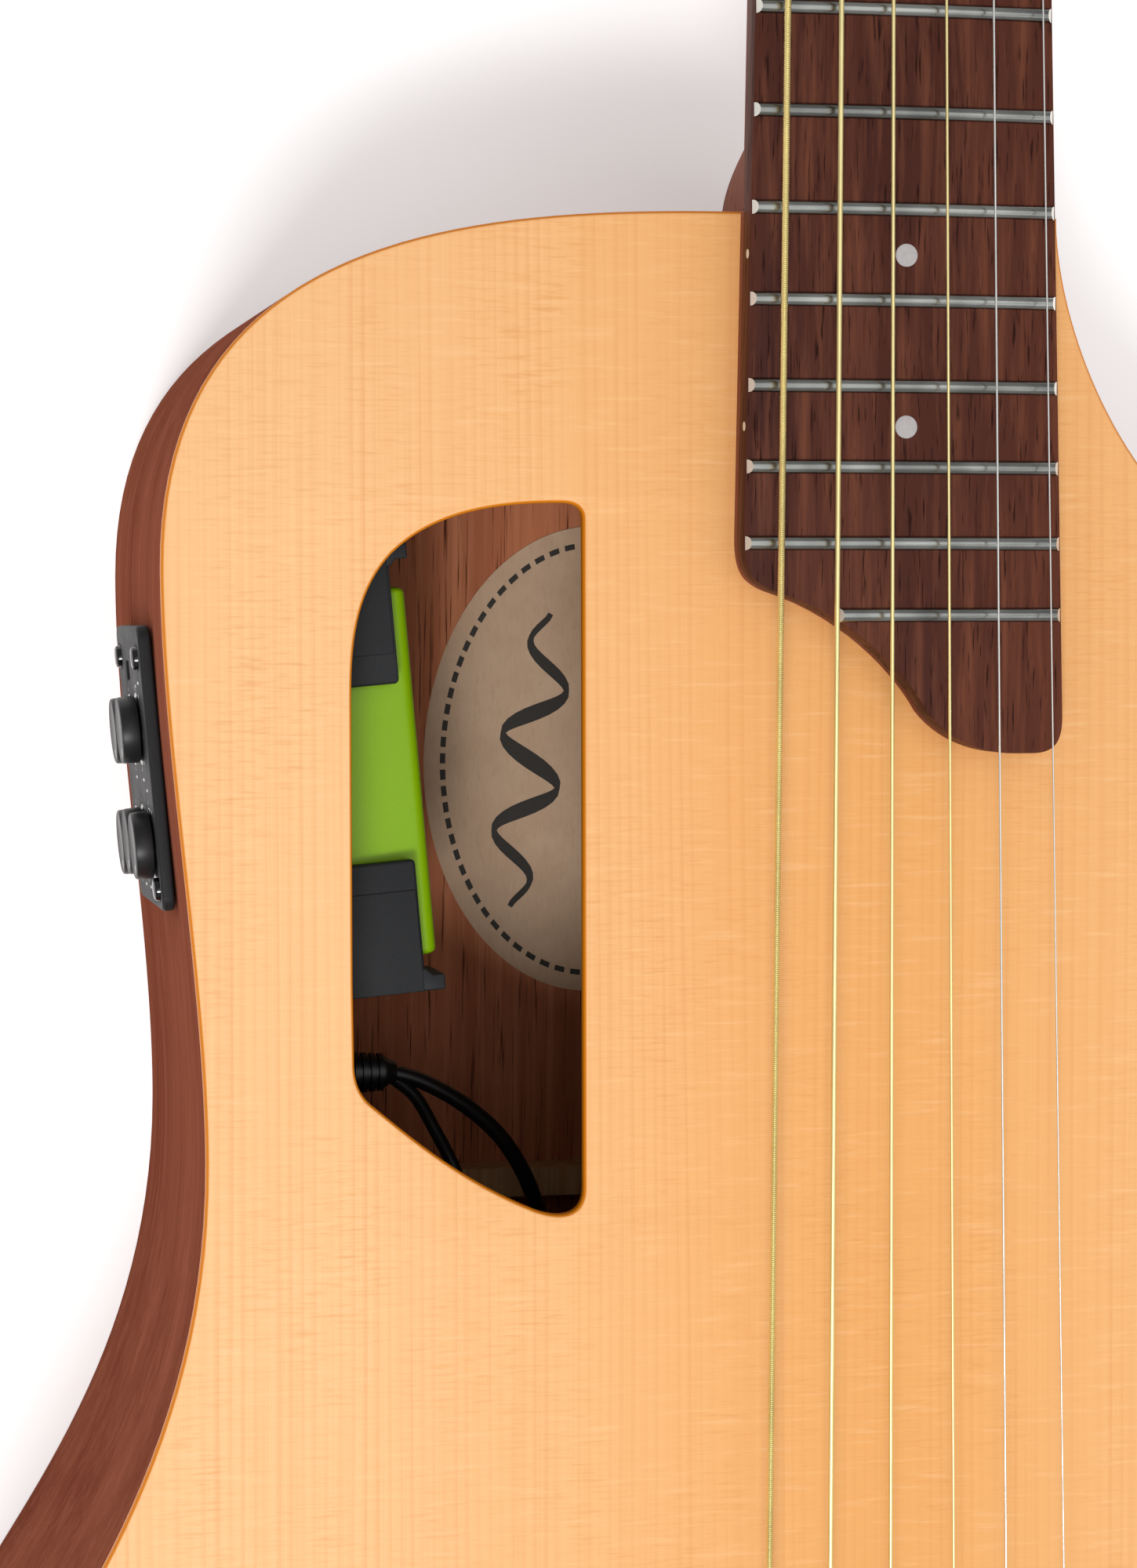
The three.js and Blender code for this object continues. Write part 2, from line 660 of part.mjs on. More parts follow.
// ---- Strings ----
function string({ saddle: atSaddle, nut: atNut, radius, row, side }) {
  const crestY = atSaddle * SADDLE.slant;
  const end = onHeadstock(side * (TUNER_X - POST_RADIUS - radius - GAP), TUNER_ROWS[row], WIND_HEIGHT);
  const points = [
    new THREE.Vector3(atSaddle, STRING_END_Y, BRIDGE_TOP + GAP + radius),
    new THREE.Vector3(atSaddle, crestY - SADDLE.thick / 2 - GAP, stringUnder(atSaddle, 0) + radius),
    new THREE.Vector3(atSaddle, crestY, stringUnder(atSaddle, 0) + radius),
    new THREE.Vector3(atNut, SCALE_LENGTH + GAP, stringUnder(atNut, SCALE_LENGTH) + radius),
    new THREE.Vector3(atNut, HEAD_START, stringUnder(atNut, SCALE_LENGTH) + radius),
    end,
  ];
  return tube(new Polyline(points), radius, points.length - 1, 6);
}

// ---- Tuners, in the headstock's frame about the post's axis; the button points to +X ----
function tunerHousing() {
  const { width, height, corner, rear, shift } = HOUSING_BOX;
  const outline = roundedRectangle(width, height, corner);
  const outer = prism(outline, rear, -HEAD_THICK - GAP, 3).translate(0, shift, 0);
  const gearRoom = rodZ(GEAR_RADIUS + GAP, GEAR.from - 0.4, 0, 0, 0, 18);
  const wormRoom = rodX(WORM_RADIUS + 0.4, -7.6, 20, WORM_Y, WORM_Z, 12);
  return cut(outer, gearRoom, wormRoom);
}

function tunerPost() {
  const profile = [
    [0, GEAR.from],
    [GEAR_RADIUS, GEAR.from],
    [GEAR_RADIUS, GEAR.to],
    [POST_RADIUS, GEAR.to],
    [POST_RADIUS, 6],
    [2.4, 9.5],
    [2.4, 10.5],
    [POST_RADIUS, 14],
    [POST_RADIUS, POST_ABOVE - 0.6],
    [POST_RADIUS - 0.6, POST_ABOVE],
    [0, POST_ABOVE],
  ].map(([r, z]) => new THREE.Vector2(r, z));
  const post = new THREE.LatheGeometry(profile, 14).rotateX(Math.PI / 2);
  return cut(post, rodX(STRING_HOLE.radius, -5, 5, 0, STRING_HOLE.height, 8));
}

function tunerButton() {
  const shaft = rodX(WORM_RADIUS, -7, 17, WORM_Y, WORM_Z, 12);
  const collar = rodX(3.2, 10.6, 14.6, WORM_Y, WORM_Z, 12);
  const outline = new THREE.Shape();
  outline.moveTo(14, -3.2);
  outline.bezierCurveTo(16, -9.5, 20, -10, 23.5, -10);
  outline.bezierCurveTo(30.5, -10, 32, -4, 32, 0);
  outline.bezierCurveTo(32, 4, 30.5, 10, 23.5, 10);
  outline.bezierCurveTo(20, 10, 16, 9.5, 14, 3.2);
  const paddle = new THREE.ExtrudeGeometry(outline, {
    depth: 4.4,
    bevelThickness: 1.3,
    bevelSize: 1.2,
    bevelOffset: -1.2,
    bevelSegments: 1,
    curveSegments: 4,
  });
  paddle.translate(0, WORM_Y, WORM_Z - 2.2);
  return join(shaft, collar, paddle);
}

// ---- Preamp, in its own frame: x towards the tail, y towards the soundboard, z out of the rim ----
function preampMatrix() {
  const towardsTail = new THREE.Vector3(Math.sin(PREAMP_TURN), -Math.cos(PREAMP_TURN), 0);
  const up = new THREE.Vector3(0, 0, 1);
  const outwards = new THREE.Vector3().crossVectors(towardsTail, up);
  return new THREE.Matrix4().makeBasis(towardsTail, up, outwards).setPosition(PREAMP_POSITION);
}

function preampBezel() {
  const plate = prism(roundedRectangle(BEZEL.width, BEZEL.height, BEZEL.corner), 0, BEZEL.thick, 4);
  plate.translate(0, BEZEL.raise, 0);
  const skirt = prism(roundedRectangle(SKIRT.width, SKIRT.height, 2), -SKIRT.depth, 0.5, 2);
  const { width, height, wall, depth } = SKIRT;
  const hollow = prism(roundedRectangle(width - 2 * wall, height - 2 * wall, 1), -depth - 5, 0, 2);
  const knobBores = Object.values(KNOBS).map(([x, y]) => rodZ(KNOB.bore, -1, 9, x, y, 16));
  const pushBores = Object.values(PUSH_BUTTONS).map(([x, y]) => rodZ(PUSH.bore, -1, 9, x, y, 12));
  return cut(join(plate, skirt), hollow, ...knobBores, ...pushBores);
}

function preampHousing() {
  const { from, to, low, high, front, rear } = HOUSING;
  const shape = roundedRectangle(to - from, high - low, 4);
  return prism(shape, rear, front).translate((from + to) / 2, (low + high) / 2, 0);
}

// A C-shaped clip round one end of the housing, with a thicker end wall.
function preampBracket({ open, closed }) {
  const { sheet, endWall, high, low, front, rear, toe: toeRear, ledge } = BRACKET;
  const inward = Math.sign(open - closed);
  const wall = closed + inward * endWall;
  const clip = polygon([
    [open, high],
    [closed, high],
    [closed, low],
    [open, low],
    [open, low + sheet],
    [wall, low + sheet],
    [wall, high - sheet],
    [open, high - sheet],
  ]);
  const toe = prism(
    polygon([
      [closed, rear + 1],
      [closed, toeRear],
      [closed + inward * ledge, toeRear],
      [closed + inward * ledge, rear - 1.4],
      [wall, rear - 0.2],
      [wall, rear + 1],
    ]),
    -high,
    -3,
  ).rotateX(Math.PI / 2);
  return join(prism(clip, rear, front), toe);
}

function knob([x, y]) {
  const base = BEZEL.thick + KNOB.lift;
  const top = base + KNOB.height;
  const profile = [
    [0, 0.6],
    [KNOB.shaft, 0.6],
    [KNOB.shaft, base],
    [KNOB.radius, base],
    [KNOB.radius, top - 0.5],
    [KNOB.radius - 0.5, top],
    [0, top],
  ].map(([r, z]) => new THREE.Vector2(r, z));
  const turned = new THREE.LatheGeometry(profile, 22).rotateX(Math.PI / 2);
  const pointer = boxBetween(-0.4, 0.4, 1.5, 8, top - 0.5, top + 2);
  return cut(turned, pointer).translate(x, y, 0);
}

function pushButton([x, y]) {
  return rodZ(PUSH.radius, 1, BEZEL.thick + PUSH.proud, x, y, 14);
}

// ---- Jack and cable ----
function outputJack() {
  const { flange, barrel, bore, outer, inner, boreDepth } = JACK;
  const profile = [
    [bore, outer],
    [flange - 1.5, outer],
    [flange, outer + 1.5],
    [flange, outer + 4],
    [barrel - 0.4, outer + 7],
    [barrel - 0.4, outer + 10],
    [flange, outer + 12.5],
    [flange, TAIL_END - GAP],
    [barrel, TAIL_END - GAP],
    [barrel, inner],
    [0, inner],
    [0, outer + boreDepth],
    [bore, outer + boreDepth],
    [bore, outer],
  ].map(([r, y]) => new THREE.Vector2(r, y));
  return new THREE.LatheGeometry(profile, 20).translate(0, 0, JACK_Z);
}

// Route of the lead from the preamp's plug to the output jack.
const CABLE_ROUTE = [
  [-91, 128.3, -60],
  [-84, 128.2, -60],
  [-76.5, 126.1, -60.5],
  [-67.2, 120.5, -61.5],
  [-59.4, 112.8, -63],
  [-53.3, 101.5, -66],
  [-49, 86, -73],
  [-46, 68, -84],
  [-44, 48, -94],
  [-42, 25, -98.2],
  [-41, 0, -99.9],
  [-40, -25, -99],
  [-38, -45, -92],
  [-35, -60, -86.5],
  [-31, -75, -90],
  [-25, -95, -96],
  [-16, -113, -93],
  [-7, -127, -80],
  [-2, -137, -66],
  [0, -143.5, -59.5],
  [0, JACK.inner + 1, JACK_Z],
];

// Route of the thinner lead that leaves the same boot for the pickup under the saddle.
const BRANCH_ROUTE = [
  [-83, 127.5, -60],
  [-78.1, 123.3, -61],
  [-74.2, 116.8, -62],
  [-69.6, 107.4, -62],
  [-66, 94, -57],
  [-62, 75, -47],
  [-56, 52, -36],
  [-46, 30, -28],
  [-35, 17, -22.5],
  [-25, 9, -20],
  [-15, 4, -15],
  [-10, 2, -10.5],
  [-9, 2, -6.3],
];

function lead(route, radius, steps) {
  const points = route.map(([x, y, z]) => new THREE.Vector3(x, y, z));
  return tube(new THREE.CatmullRomCurve3(points, false, "centripetal"), radius, steps, 8);
}

function preampCable() {
  const [startX, startY, startZ] = CABLE_ROUTE[0];
  const boot = [
    [0, -6],
    [4.2, -6],
    [4.2, 1],
    [3.6, 1],
    [3.6, 2],
    [4, 2],
    [4, 3.4],
    [3.3, 3.4],
    [3.3, 4.4],
    [3.7, 4.4],
    [3.7, 5.8],
    [3, 5.8],
    [2.6, 9],
    [0, 9],
  ].map(([r, along]) => new THREE.Vector2(r, along));
  const relief = new THREE.LatheGeometry(boot, 12).rotateZ(-Math.PI / 2).translate(startX, startY, startZ);
  const plug = rodZ(4.2, 0, 13.8, 0, 0, 12).rotateX(-Math.PI / 2).translate(startX - 6, startY - 2, startZ);
  return join(lead(CABLE_ROUTE, CABLE_RADIUS, 54), lead(BRANCH_ROUTE, BRANCH_RADIUS, 30), relief, plug);
}

// ---- Assembly ----
const guitar = new THREE.Group();

function add(parent, name, material, geometry) {
  const look = new THREE.MeshStandardMaterial({ name: material, ...MATERIALS[material] });
  const mesh = new THREE.Mesh(geometry, look);
  mesh.name = name;
  parent.add(mesh);
  return mesh;
}

add(guitar, "soundboard", "spruce", soundboard());
add(guitar, "back_plate", "mahogany", backPlate());
add(guitar, "side_bass", "mahogany", sideBass());
add(guitar, "side_treble", "mahogany", sideTreble());
add(guitar, "neck_block", "inner_wood", block(NECK_BLOCK));
add(guitar, "tail_block", "inner_wood", cut(block(TAIL_BLOCK), jackClearance()));
add(guitar, "lining_top_bass", "inner_wood", lining(bassSide(), true));
add(guitar, "lining_top_treble", "inner_wood", lining(trebleSide(), true));
add(guitar, "lining_back_bass", "inner_wood", lining(bassSide(), false));
add(guitar, "lining_back_treble", "inner_wood", lining(trebleSide(), false));
add(guitar, "x_brace_bass", "inner_wood", xBraceBass());
add(guitar, "x_brace_treble", "inner_wood", xBraceTreble());
add(guitar, "upper_brace", "inner_wood", upperBrace());
add(guitar, "back_brace_upper", "inner_wood", backBrace(BACK_BRACE_UPPER_Y));
add(guitar, "back_brace_lower", "inner_wood", backBrace(BACK_BRACE_LOWER_Y));
add(guitar, "bridge_plate", "inner_wood", bridgePlate());
add(guitar, "bridge", "rosewood", bridge());
add(guitar, "saddle", "bone", saddle());
add(guitar, "neck", "mahogany", neck());
add(guitar, "fretboard", "rosewood", fretboard());
add(guitar, "nut", "bone", nut());
add(guitar, "truss_rod", "chrome", trussRod());

for (const each of STRINGS) {
  const wound = each.radius > 0.25;
  add(guitar, `string_${each.name}`, wound ? "gold_wound" : "plain_steel", string(each));
}

const head = new THREE.Group();
head.position.set(0, HEAD_START, NECK_TOP);
head.rotation.x = -HEAD_ANGLE;
guitar.add(head);
for (const { name, row, side } of STRINGS) {
  const place = new THREE.Group();
  place.position.set(side * TUNER_X, TUNER_ROWS[row], 0);
  place.scale.x = side;
  head.add(place);
  add(place, `tuner_housing_${name}`, "chrome", tunerHousing());
  add(place, `tuner_post_${name}`, "chrome", tunerPost());
  add(place, `tuner_button_${name}`, "chrome", tunerButton());
}

const preamp = new THREE.Group();
preamp.applyMatrix4(preampMatrix());
guitar.add(preamp);
add(preamp, "preamp_bezel", "black_plastic", preampBezel());
add(preamp, "preamp_housing", "green_plastic", preampHousing());
add(preamp, "preamp_bracket_upper", "black_plastic", preampBracket(BRACKET_UPPER));
add(preamp, "preamp_bracket_lower", "black_plastic", preampBracket(BRACKET_LOWER));
for (const [name, place] of Object.entries(KNOBS)) {
  add(preamp, name, "black_plastic", knob(place));
}
for (const [name, place] of Object.entries(PUSH_BUTTONS)) {
  add(preamp, name, "black_plastic", pushButton(place));
}

add(guitar, "output_jack", "chrome", outputJack());
add(guitar, "preamp_cable", "black_cable", preampCable());

// The back lies flat on the ground, with the origin under the saddle.
const tilt = Math.atan(BACK_SLOPE);
guitar.rotation.x = -tilt;
guitar.position.set(0, BODY_DEPTH * Math.sin(tilt), BODY_DEPTH * Math.cos(tilt));

export default guitar;
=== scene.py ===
"""The looks of an acoustic-electric guitar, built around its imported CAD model.

Shapes are made in the guitar's design frame, in millimetres: X across the strings with the treble side
positive, Y from the saddle to the headstock, Z out of the soundboard, whose outer face is Z = 0.
PLACE takes them to the row frame, in metres, where the guitar lies on its back.
"""

import math

import bmesh
import bpy
import numpy as np
from mathutils import Matrix, Vector


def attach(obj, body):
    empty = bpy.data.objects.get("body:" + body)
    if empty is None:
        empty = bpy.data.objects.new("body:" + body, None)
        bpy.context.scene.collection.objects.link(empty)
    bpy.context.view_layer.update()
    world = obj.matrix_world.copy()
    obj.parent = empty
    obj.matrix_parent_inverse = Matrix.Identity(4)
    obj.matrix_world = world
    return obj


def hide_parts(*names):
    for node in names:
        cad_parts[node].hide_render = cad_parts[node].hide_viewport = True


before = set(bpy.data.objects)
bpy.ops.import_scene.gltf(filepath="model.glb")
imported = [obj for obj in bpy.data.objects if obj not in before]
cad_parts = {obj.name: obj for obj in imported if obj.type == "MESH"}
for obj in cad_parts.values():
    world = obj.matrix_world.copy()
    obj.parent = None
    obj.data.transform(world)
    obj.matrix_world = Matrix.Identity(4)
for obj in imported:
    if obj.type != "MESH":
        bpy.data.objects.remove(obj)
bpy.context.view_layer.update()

# ---- Driving dimensions, in millimetres in the design frame ----
SCALE_LENGTH = 650.0
BODY_DEPTH = 105.46
BACK_SLOPE = 0.06
TILT = math.atan(BACK_SLOPE)
PLACE = Matrix.Scale(0.001, 4) @ Matrix.Rotation(-TILT, 4, "X") @ Matrix.Translation((0, 0, BODY_DEPTH))
TOP_THICK = 2.8
BACK_THICK = 3.0
RIM_THICK = 2.5
BODY_END = 289.6
TAIL_END = -190.0
BOARD_UNDER = 2.5
BOARD_TOP = 8.5
BOARD_RADIUS = 400.0
BOARD_HALF_AT_NUT = 21.0
BOARD_TAPER = 0.0206
NECK_TOP = 2.2
NECK_INSET = 0.4
NECK_START = BODY_END + 0.3
HEAD_START = 655.3
HEAD_ANGLE = math.radians(10)
HEAD_THICK = 14.5
HEEL_BOTTOM = -84.0
SADDLE_SLANT = 0.0437
PIN_Y, BRIDGE_TOP = -16.6, 9.3
TUNER_ROWS = (40, 82, 124)
TUNER_X = 25.0
WORM_Y, WORM_Z = 7.2, -19.9
PREAMP_POSITION = Vector((-131.25, 189.6, -39.5))
PREAMP_TURN = math.radians(4.97)
JACK_Z = -58.0

# name: x at the saddle, x at the nut, radius, tuner row, side of the headstock, winding pitch (0 is plain)
STRINGS = {
    "low_e": (-27.1, -18.7, 0.68, 0, -1, 0.37),
    "a": (-15.65, -10.65, 0.54, 1, -1, 0.32),
    "d": (-4.1, -3.05, 0.41, 2, -1, 0.27),
    "g": (8.2, 4.45, 0.30, 2, 1, 0.24),
    "b": (18.5, 12.0, 0.21, 1, 1, 0),
    "high_e": (30.1, 19.3, 0.16, 0, 1, 0),
}
KNOBS = {
    "knob_volume": (-7, 8.5),
    "knob_blend": (-6.5, -5),
    "knob_treble": (14, 13.6),
    "knob_middle": (13.9, 0.8),
    "knob_bass": (14.8, -12.4),
}
PUSH_BUTTONS = {"button_tuner": (-20.1, 16.8), "button_phase": (-20.1, -15.5), "button_power": (21.9, 17.9)}


def back_outer(y):
    return -BODY_DEPTH + BACK_SLOPE * y


def back_inner(y):
    return back_outer(y) + BACK_THICK


def board_half(y):
    return BOARD_HALF_AT_NUT + BOARD_TAPER * (SCALE_LENGTH - y)


def board_surface(x):
    return BOARD_TOP - x * x / (2 * BOARD_RADIUS)


def fret_y(n):
    return SCALE_LENGTH * 2 ** (-n / 12)


def string_under(x, y):
    return 9.75 + 0.0062 * (SCALE_LENGTH - y) - x * x / (2 * BOARD_RADIUS)


HEAD = Matrix.Translation((0, HEAD_START, NECK_TOP)) @ Matrix.Rotation(-HEAD_ANGLE, 4, "X")
PREAMP_AXES = Matrix(
    (
        (math.sin(PREAMP_TURN), 0, -math.cos(PREAMP_TURN)),
        (-math.cos(PREAMP_TURN), 0, -math.sin(PREAMP_TURN)),
        (0, 1, 0),
    )
).to_4x4()
PREAMP = Matrix.Translation(PREAMP_POSITION) @ PREAMP_AXES


# ---- Camera, lights and stage ----
def placed(name, data):
    """A new object in the scene."""
    obj = bpy.data.objects.new(name, data)
    bpy.context.scene.collection.objects.link(obj)
    return obj


def make_camera():
    """The photograph's viewpoint, given in the design frame."""
    place = Vector((-196.25, 215.92, 635.5))
    yaw, pitch, roll = -0.2108, -0.0448, -0.0018
    turn = Matrix.Rotation(yaw, 4, "Y") @ Matrix.Rotation(pitch, 4, "X") @ Matrix.Rotation(roll, 4, "Z")
    data = bpy.data.cameras.new("camera")
    data.sensor_width = 36
    data.lens = 83.28
    data.clip_start = 0.01
    camera = placed("camera", data)
    spot = PLACE @ place
    camera.matrix_world = Matrix.Translation(spot) @ Matrix.Rotation(-TILT, 4, "X") @ turn
    bpy.context.scene.camera = camera


def softbox(name, place, target, size, power, colour=(1, 1, 1)):
    data = bpy.data.lights.new(name, "AREA")
    data.shape = "RECTANGLE"
    data.size, data.size_y = size
    data.energy = power
    data.color = colour
    light = placed(name, data)
    light.location = place
    light.rotation_euler = (Vector(target) - Vector(place)).to_track_quat("-Z", "Y").to_euler()


def make_studio():
    scene = bpy.context.scene
    scene.view_settings.view_transform = "Standard"
    world = bpy.data.worlds.new("studio")
    world.use_nodes = True
    background = world.node_tree.nodes["Background"]
    background.inputs["Color"].default_value = (1, 0.99, 0.98, 1)
    background.inputs["Strength"].default_value = 0.42
    scene.world = world
    softbox("key", (-0.52, -0.5, 1.75), (-0.07, 0.19, 0.1), (0.45, 0.45), 18)
    softbox("fill", (1.4, -0.3, 1.5), (0, 0.15, 0.1), (1.2, 1.4), 5)
    softbox("overhead", (0.1, 0.3, 2.2), (0, 0.1, 0.1), (1.6, 2.2), 10)


# ---- Meshes ----
Z_TO_X = Matrix.Rotation(math.pi / 2, 4, "Y")
UPSIDE_DOWN = Matrix.Rotation(math.pi, 4, "X")


def at(x, y, z, base=PLACE):
    return base @ Matrix.Translation((x, y, z))


def mesh_from(name, points, faces, place=PLACE):
    mesh = bpy.data.meshes.new(name)
    mesh.from_pydata([tuple(p) for p in points], [], faces)
    mesh.transform(place)
    mesh.validate()
    mesh.update()
    return mesh


def outward(mesh):
    bm = bmesh.new()
    bm.from_mesh(mesh)
    bmesh.ops.remove_doubles(bm, verts=bm.verts, dist=1e-7)
    bmesh.ops.recalc_face_normals(bm, faces=bm.faces)
    bm.to_mesh(mesh)
    bm.free()
    return mesh


def evaluated(temp):
    """The mesh that a temporary object comes to. The object is removed."""
    bpy.context.view_layer.update()
    made = bpy.data.meshes.new_from_object(temp.evaluated_get(bpy.context.evaluated_depsgraph_get()))
    bpy.data.objects.remove(temp)
    return made


def with_modifiers(mesh, *modifiers):
    """The mesh after modifiers, each given as (type, {setting: value})."""
    temp = placed("temp", mesh)
    for kind, settings in modifiers:
        modifier = temp.modifiers.new(kind.lower(), kind)
        for key, value in settings.items():
            setattr(modifier, key, value)
    return evaluated(temp)


def bevelled(mesh, width, segments=3, angle=35):
    """Sharp edges rounded by a width in millimetres."""
    settings = {"width": width * 0.001, "segments": segments, "limit_method": "ANGLE"}
    settings |= {"angle_limit": math.radians(angle), "use_clamp_overlap": True, "harden_normals": False}
    return with_modifiers(mesh, ("BEVEL", settings))


def boolean(mesh, tool, operation):
    other = placed("tool", tool)
    made = with_modifiers(mesh, ("BOOLEAN", {"object": other, "operation": operation, "solver": "EXACT"}))
    bpy.data.objects.remove(other)
    return made


def joined(*meshes):
    """One mesh that holds several separate ones."""
    bm = bmesh.new()
    for mesh in meshes:
        bm.from_mesh(mesh)
    made = bpy.data.meshes.new("joined")
    bm.to_mesh(made)
    bm.free()
    return made


def plate(outline, low, high, edge=0.0, holes=(), place=PLACE, rounds=2):
    """A flat plate between two heights, with its edges rounded."""
    curve = bpy.data.curves.new("plate", "CURVE")
    curve.dimensions = "2D"
    curve.fill_mode = "BOTH"
    curve.extrude = (high - low) / 2 - edge
    curve.bevel_depth = edge
    curve.bevel_resolution = rounds
    curve.offset = -edge
    for loop in (outline, *holes):
        spline = curve.splines.new("POLY")
        spline.points.add(len(loop) - 1)
        for point, (x, y) in zip(spline.points, loop):
            point.co = (x, y, 0, 1)
        spline.use_cyclic_u = True
    mesh = evaluated(placed("plate", curve))
    mesh.transform(place @ Matrix.Translation((0, 0, (low + high) / 2)))
    return outward(mesh)


def loft(rings, place=PLACE, closed_loop=False):
    """A skin over rings of equal length, with flat ends unless it closes on itself."""
    count = len(rings[0])
    points = [p for ring in rings for p in ring]
    faces = []
    steps = len(rings) if closed_loop else len(rings) - 1
    for r in range(steps):
        a, b = r * count, ((r + 1) % len(rings)) * count
        for i in range(count):
            j = (i + 1) % count
            faces.append((a + i, a + j, b + j, b + i))
    if not closed_loop:
        faces.append(tuple(range(count))[::-1])
        faces.append(tuple(range(len(points) - count, len(points))))
    return outward(mesh_from("loft", points, faces, place))


def turned(profile, sides=48, place=PLACE, hollow=False):
    """A profile of (radius, height) turned about Z. A hollow one closes on itself round a hole."""
    angles = [2 * math.pi * i / sides for i in range(sides)]
    rings = []
    for radius, z in profile:
        reach = max(radius, 1e-4)
        rings.append([(reach * math.cos(a), reach * math.sin(a), z) for a in angles])
    return loft(rings, place, hollow)


def tube(points, radii, sides=10, place=PLACE):
    """A round tube through points, with one radius or one for each point."""
    path = np.array([tuple(p) for p in points], float)
    radii = np.broadcast_to(np.asarray(radii, float), (len(path),))
    tangents = np.gradient(path, axis=0)
    tangents /= np.linalg.norm(tangents, axis=1)[:, None]
    side = np.cross(tangents[0], (0, 0, 1.0))
    if np.linalg.norm(side) < 1e-3:
        side = np.cross(tangents[0], (0, 1.0, 0))
    angles = np.arange(sides) * 2 * math.pi / sides
    rings = np.empty((len(path), sides, 3))
    for i, tangent in enumerate(tangents):
        side = side - tangent * side.dot(tangent)
        side /= np.linalg.norm(side)
        up = np.cross(tangent, side)
        ring = np.cos(angles)[:, None] * side + np.sin(angles)[:, None] * up
        rings[i] = path[i] + ring * radii[i]
    rows = np.arange(len(path) - 1)[:, None] * sides
    a = rows + np.arange(sides)
    b = rows + (np.arange(sides) + 1) % sides
    quads = np.stack([a, b, b + sides, a + sides], axis=-1).reshape(-1, 4)
    last = (len(path) - 1) * sides
    faces = quads.tolist() + [list(range(sides))[::-1], list(range(last, last + sides))]
    return outward(mesh_from("tube", rings.reshape(-1, 3), faces, place))


def box(x0, x1, y0, y1, z0, z1, place=PLACE, edge=0.0, segments=3):
    corners = [(x, y, z) for z in (z0, z1) for x, y in ((x0, y0), (x1, y0), (x1, y1), (x0, y1))]
    faces = [(3, 2, 1, 0), (4, 5, 6, 7), (0, 1, 5, 4), (1, 2, 6, 5), (2, 3, 7, 6), (3, 0, 4, 7)]
    mesh = outward(mesh_from("box", corners, faces, place))
    return bevelled(mesh, edge, segments) if edge else mesh


def bezier(a, b, c, d, steps):
    made = []
    for i in range(1, steps + 1):
        t = i / steps
        s = 1 - t
        weights = (s**3, 3 * s * s * t, 3 * s * t * t, t**3)
        made.append(tuple(sum(w * p[k] for w, p in zip(weights, (a, b, c, d))) for k in (0, 1)))
    return made


def path(start, *curves, steps=24):
    """Points along straight lines (one point) and curves (three points) from a start."""
    points = [start]
    for curve in curves:
        if len(curve) == 1:
            points.append(curve[0])
        else:
            points += bezier(points[-1], *curve, steps)
    return points


def rounded_rectangle(width, height, radius, steps=6):
    points = []
    for quarter, (sx, sy) in enumerate(((1, 1), (-1, 1), (-1, -1), (1, -1))):
        cx, cy = sx * (width / 2 - radius), sy * (height / 2 - radius)
        for i in range(steps + 1):
            a = (quarter + i / steps) * math.pi / 2
            points.append((cx + radius * math.cos(a), cy + radius * math.sin(a)))
    return points


def circle(radius, x=0.0, y=0.0, sides=40):
    return [
        (x + radius * math.cos(2 * math.pi * i / sides), y + radius * math.sin(2 * math.pi * i / sides))
        for i in range(sides)
    ]


def smooth_path(points, steps=8):
    """A Catmull-Rom curve through points, as a list of vectors."""
    p = [Vector(q) for q in points]
    p = [2 * p[0] - p[1], *p, 2 * p[-1] - p[-2]]
    made = []
    for i in range(1, len(p) - 2):
        for k in range(steps):
            t = k / steps
            a, b, c, d = p[i - 1], p[i], p[i + 1], p[i + 2]
            square = (2 * a - 5 * b + 4 * c - d) * t * t
            cube = (3 * b - a - 3 * c + d) * t**3
            made.append(0.5 * ((2 * b) + (c - a) * t + square + cube))
    made.append(p[-2])
    return made


# ---- Pieces ----
def piece(name, mesh, material, body="guitar", replaces=(), angle=32):
    obj = placed(name, mesh)
    mesh.materials.clear()
    for each in material if isinstance(material, (list, tuple)) else [material]:
        mesh.materials.append(each)
    mesh.shade_smooth()
    mesh.set_sharp_from_angle(angle=math.radians(angle))
    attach(obj, body)
    if replaces:
        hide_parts(*([replaces] if isinstance(replaces, str) else replaces))
    return obj


